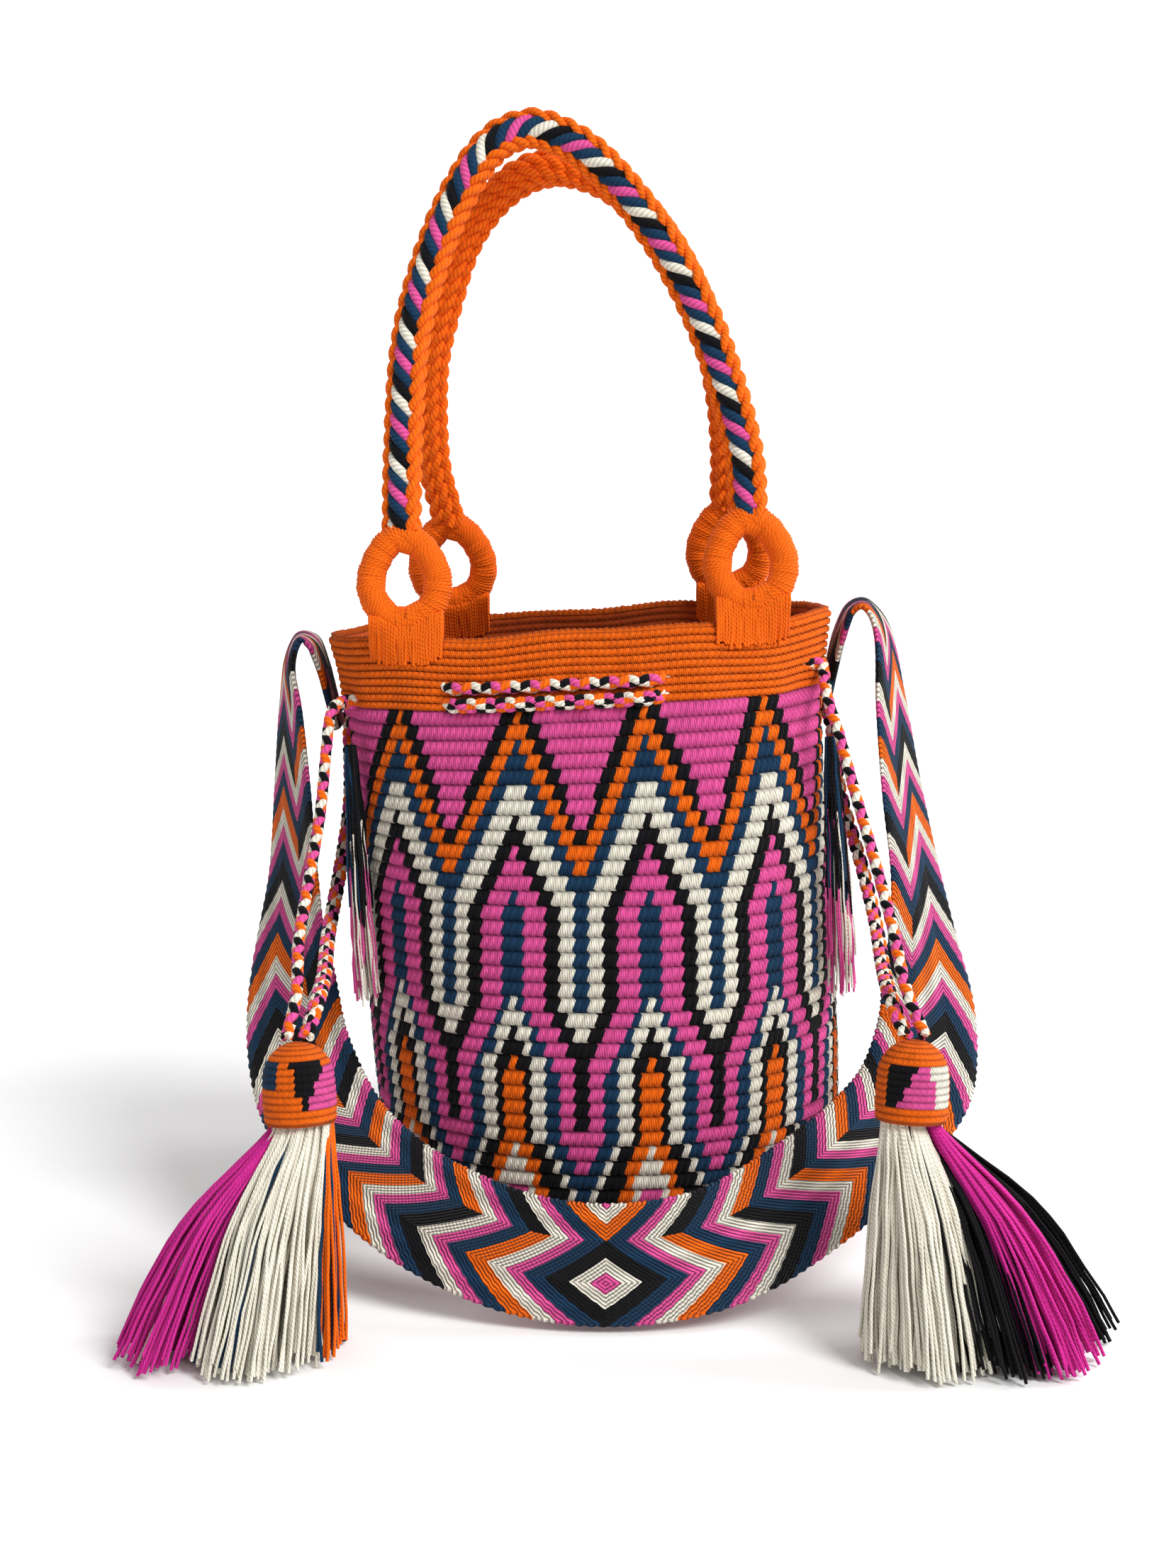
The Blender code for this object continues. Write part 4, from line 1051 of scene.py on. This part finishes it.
tasselShape = {
    "capHeight": 0.034, "capRadius": 0.0158, "capRows": 14, "capStitches": 34, "strand": 0.00076,
    "left": {"place": (-0.1375, -0.1700, 0.0945), "lean": (-7.0, -3.0), "bundles": {
        "magenta": {"top": (-0.0095, 0.0015), "mouth": (0.0035, 0.0075), "feet": [(-0.1960, -0.2010)],
                    "spread": (0.0185, 0.0280), "count": 170, "mixed": ("cream", 0.02)},
        "cream": {"top": (0.0005, -0.0035), "mouth": (0.0120, 0.0085), "feet": [(-0.1550, -0.2070)],
                  "spread": (0.0285, 0.0280), "count": 300, "mixed": ("navy", 0.05)},
        "orange": {"top": (0.0115, 0.0005), "mouth": (0.0018, 0.0050), "feet": [(-0.1240, -0.1950)],
                   "spread": (0.0065, 0.0240), "count": 60, "mixed": ("navy", 0.35)}}},
    "right": {"place": (0.1245, -0.1720, 0.0960), "lean": (-7.0, 3.0), "bundles": {
        "cream": {"top": (-0.0035, -0.0035), "mouth": (0.0095, 0.0085), "feet": [(0.1290, -0.2080)],
                  "spread": (0.0290, 0.0280), "count": 300, "mixed": ("black", 0.03)},
        "magenta": {"top": (0.0100, -0.0005), "mouth": (0.0032, 0.0068), "feet": [(0.1830, -0.2040)],
                    "spread": (0.0200, 0.0280), "count": 190, "mixed": ("magenta", 0.0)},
        "black": {"top": (0.0060, 0.0060), "mouth": (0.0065, 0.0055), "feet": [(0.1960, -0.1800), (0.1600, -0.2200)],
                  "spread": (0.0200, 0.0150), "count": 170, "mixed": ("black", 0.0)}}},
}


def runAround(z, start, end, crossings):
    # the cord round the bag, outside the wall at first and through it at each crossing
    outside = cordShape["radius"] + cordShape["gap"]
    inside = -bagShape["wall"] - outside - 0.0011
    way = math.copysign(1.0, end - start)
    angle, found = start, []
    while (end - angle) * way > 0:
        here = bagPoint(np.array(angle), z)
        out, sign = outside, 1
        for crossing in crossings:
            gap = float(np.linalg.norm(here - bagPoint(np.array(crossing), z)))
            past = (angle - crossing) * way > 0
            out += sign * (inside - outside) * float(smooth(0.5 + (gap if past else -gap) / cordShape["crossing"]))
            sign = -sign
        found.append(bagPoint(np.array(angle), z, out))
        pace = float(np.linalg.norm(bagPoint(np.array(angle + 0.001), z, out) - found[-1])) / 0.001
        angle += way * 0.0035 / pace
    return found


def capMatrix(side):
    shape = tasselShape[side]
    lean = [math.radians(v) for v in shape["lean"]]
    return np.array(Matrix.Translation(shape["place"]) @ Matrix.Rotation(lean[0], 4, "X")
                    @ Matrix.Rotation(lean[1], 4, "Y"))


def buildDrawstring(name, z, right, frontEnd, rearEnd, tops):
    front = angleAt(z, y=-cordShape["sideSlot"], right=right)
    rear = angleAt(z, y=cordShape["sideSlot"], right=right)
    frontSlots = [angleAt(z, x=x, front=True) for x in cordShape["frontSlots"]]
    rearSlots = [angleAt(z, x=x, front=False) for x in cordShape["rearSlots"]]
    if right:
        rear -= 2 * math.pi
        crossings = [front] + frontSlots[::-1] + [a - 2 * math.pi for a in rearSlots[::-1]] + [rear]
    else:
        front -= 2 * math.pi
        crossings = [front] + frontSlots + rearSlots + [rear]
    lead = math.copysign(0.11, front - rear)
    ring = runAround(z, front + lead, rear - lead, crossings)
    down = spline([tops[0], *frontEnd[::-1], ring[0]], 8)[:-1]
    up = spline([ring[-1], *rearEnd, tops[1]], 8)[1:]
    path, run = evenly(np.concatenate([down, np.array(ring), up]), 0.0011)
    side, other = framesAlong(path, (0, 1, 0.2))
    meshes = []
    turn = 2 * math.pi * run / cordShape["pitch"]
    # two strands go round each way, and pass over and under the others
    for k, yarn in enumerate(cordShape["yarns"]):
        way = 1 if k % 2 == 0 else -1
        start = math.pi * (k // 2) + (0 if way > 0 else math.pi / 2)
        angle = way * turn + start
        reach = cordShape["reach"] + cordShape["sway"] * np.cos(2 * turn + (0 if way > 0 else math.pi))
        meshes.append(spinYarn([around(path, side, other, reach, angle)], cordShape["strand"], yarn, sides=8))
    cord = joinMeshes(name + "_braid", meshes)
    putOn(cord, "bag", "cord_braid", name)
    print(f"{name} {run[-1]:.3f} m long")


def capStitchYarn(side, down, share):
    # an orange dome with patches of other yarns on its front, and an orange band at the bottom
    front = (share + 0.5) % 1 - 0.5
    if side == "left":
        part = (down - 0.34) / 0.46
        if not 0 <= part <= 1:
            return "orange"
        if -0.035 + 0.045 * part < front < 0.137 - 0.10 * part:
            return "black"
        if part > 0.12 and 0 < front < 0.28:
            return "pink"
        return "navy" if -0.27 < front < -0.11 and part < 0.6 else "orange"
    part = (down - 0.40) / 0.43
    if not 0 <= part <= 1:
        return "orange"
    if -0.17 < front < -0.022 - 0.09 * part:
        return "black"
    if -0.15 < front < 0.048 + 0.03 * part:
        return "pink"
    return "cream" if 0 < front < 0.20 else "orange"


def buildCap(side):
    matrix = capMatrix(side)
    count, rows = tasselShape["capStitches"], tasselShape["capRows"]
    radius, height = tasselShape["capRadius"], tasselShape["capHeight"]
    profile = [(0.0003, height)] + [(radius * 0.98 * math.cos(a), 0.018 + 0.016 * math.sin(a))
                                    for a in np.radians(np.linspace(84, 5, 12))]
    profile += [(radius, 0.012), (radius, 0.006), (radius * 0.97, 0.0)]
    line, run = evenly(np.array([(x, 0, z) for x, z in profile]), 0.0002)
    grid, levels = [], []
    uSamples = np.array([0.0, 0.3, 0.5, 0.7])
    ridge = np.tile([0.0, 0.85, 1.0, 0.85], count)
    for row in range(rows):
        for v, lean, lift in ((0.0, 0.0, 0.0), (0.2, -0.3, 0.8), (0.5, 0.0, 1.0), (0.8, 0.3, 0.8)):
            at = (row + v) / rows * run[-1]
            r, z = float(np.interp(at, run, line[:, 0])), float(np.interp(at, run, line[:, 2]))
            share = (np.arange(count)[:, None] + uSamples[None, :]).ravel() / count + lean * -0.5 / count
            size = r + 0.0006 * lift * (0.35 + 0.65 * ridge) - 0.0004
            angle = 2 * math.pi * share - math.pi / 2
            grid.append(np.stack([size * np.cos(angle), size * np.sin(angle), np.full(len(angle), z)], axis=1))
            levels.append(row + v)
    bottom = radius * 0.97
    for r, z in ((bottom - 0.0002, -0.0008), (bottom - 0.0014, -0.0012), (bottom - 0.0026, -0.0004),
                 (bottom - 0.0027, 0.012), (0.0002, 0.0125)):
        angle = 2 * math.pi * (np.arange(count)[:, None] + uSamples[None, :]).ravel() / count - math.pi / 2
        grid.append(np.stack([r * np.cos(angle), r * np.sin(angle), np.full(len(angle), z)], axis=1))
        levels.append(rows + 0.2 * len(levels))
    grid = intoFrame(matrix, np.array(grid))
    colours = np.zeros((len(grid) - 1, count * 4, 3))
    for k in range(len(grid) - 1):
        row = min(int(levels[k]), rows - 1)
        for j in range(count * 4):
            colours[k, j] = yarnColours[capStitchYarn(side, row / rows if k < rows * 4 else 1.0, (j // 4) / count)]
    across = (np.arange(count)[:, None] + uSamples[None, :]).ravel()
    mesh = meshFromGrid(side + "_cap", grid, (across, np.array(levels, float)), colours, wrap=True)
    mesh.materials.append(crochetMaterial)
    cap = joinMeshes(side + "_tassel_dome", [mesh])
    putOn(cap, "bag", "orange_yarn", side + "_tassel_cap")
    return [intoFrame(matrix, [[x, 0, height + 0.0015]])[0] for x in (-0.0042, 0.0042)]


def buildFringe(side):
    matrix = capMatrix(side)
    for yarn, bundle in tasselShape[side]["bundles"].items():
        rng = np.random.default_rng(len(yarn) * 7 + len(side))
        top, mouthSize, spread = bundle["top"], bundle["mouth"], bundle["spread"]
        strands = {yarn: [], bundle["mixed"][0]: []}
        for k in range(bundle["count"]):
            turn, reach = rng.uniform(0, 2 * math.pi), math.sqrt(rng.uniform(0, 1))
            foot = bundle["feet"][k % len(bundle["feet"])]
            start = np.array([top[0] + mouthSize[0] * reach * math.cos(turn),
                              top[1] + mouthSize[1] * reach * math.sin(turn), 0.006])
            mouth = intoFrame(matrix, [[start[0], start[1], -0.003]])[0]
            start = intoFrame(matrix, [start])[0]
            turn += rng.normal(0, 0.25)
            end = np.array([foot[0] + spread[0] * reach * math.cos(turn) * rng.uniform(0.9, 1.06),
                            foot[1] + spread[1] * reach * math.sin(turn) * rng.uniform(0.9, 1.06),
                            0.0012 + abs(rng.normal(0, 0.004))])
            third, late = mouth + (end - mouth) * 0.36, mouth + (end - mouth) * 0.72
            third[:2] += (end - mouth)[:2] * 0.15 + rng.normal(0, 0.0006, 2)
            late[:2] += (end - mouth)[:2] * 0.09 + rng.normal(0, 0.0008, 2)
            chosen = bundle["mixed"][0] if rng.uniform() < bundle["mixed"][1] else yarn
            strands[chosen].append(spline([start, mouth, third, late, end], 4))
        meshes = [spinYarn(lines, tasselShape["strand"], key, sides=5, wobble=0.0020, seed=float(len(key)))
                  for key, lines in strands.items() if lines]
        piece = joinMeshes(f"{side}_{yarn}_fringe", meshes)
        putOn(piece, "bag", yarn + "_yarn", f"{side}_tassel_{yarn}_fringe")


leftTops = buildCap("left")
rightTops = buildCap("right")
buildFringe("left")
buildFringe("right")
print("tassels ready")
buildDrawstring("left_drawstring", cordShape["lowRun"], False, cordShape["leftFront"], cordShape["leftRear"], leftTops)
buildDrawstring("right_drawstring", cordShape["highRun"], True, cordShape["rightFront"], cordShape["rightRear"],
                rightTops[::-1])


# Yarn ends of the strap, which hang beside the bag.
tailShape = {
    "strand": 0.00055, "wobble": 0.0040,
    "yarns": (("black", 60, 0.085), ("navy", 22, 0.080), ("pink", 30, 0.123), ("cream", 26, 0.126)),
    "left": {"node": "left_strap_tail", "line": [(-0.1255, -0.0480, 0.2400), (-0.1235, -0.0520, 0.2080),
                                                 (-0.1210, -0.0550, 0.1600), (-0.1185, -0.0560, 0.1180)]},
    "right": {"node": "right_strap_tail", "line": [(0.1000, -0.0450, 0.2440), (0.1020, -0.0500, 0.2080),
                                                   (0.1050, -0.0550, 0.1600), (0.1065, -0.0560, 0.1180)]},
}


def buildTail(side):
    shape = tailShape[side]
    line, run = evenly(spline(shape["line"], 8), 0.004)
    rng = np.random.default_rng(11 if side == "left" else 12)
    meshes = []
    for yarn, count, length in tailShape["yarns"]:
        strands = []
        for _ in range(count):
            turn, reach = rng.uniform(0, 2 * math.pi), math.sqrt(rng.uniform(0, 1))
            long = length * rng.uniform(0.82, 1.0)
            first = 0.0 if yarn in ("black", "navy") else rng.uniform(0.03, 0.06)
            at = np.linspace(first, min(long, run[-1]), 9)
            middle = np.stack([np.interp(at, run, line[:, c]) for c in range(3)], axis=1)
            spread = 0.0022 + 0.0050 * (at / run[-1]) ** 0.7
            middle[:, 0] += spread * reach * math.cos(turn)
            middle[:, 1] += spread * reach * math.sin(turn)
            strands.append(middle)
        meshes.append(spinYarn(strands, tailShape["strand"], yarn, sides=4, wobble=tailShape["wobble"],
                               seed=float(count)))
    piece = joinMeshes(side + "_yarn_ends", meshes)
    putOn(piece, "bag", "black_yarn", shape["node"])


buildTail("left")
buildTail("right")
print("yarn ends ready")
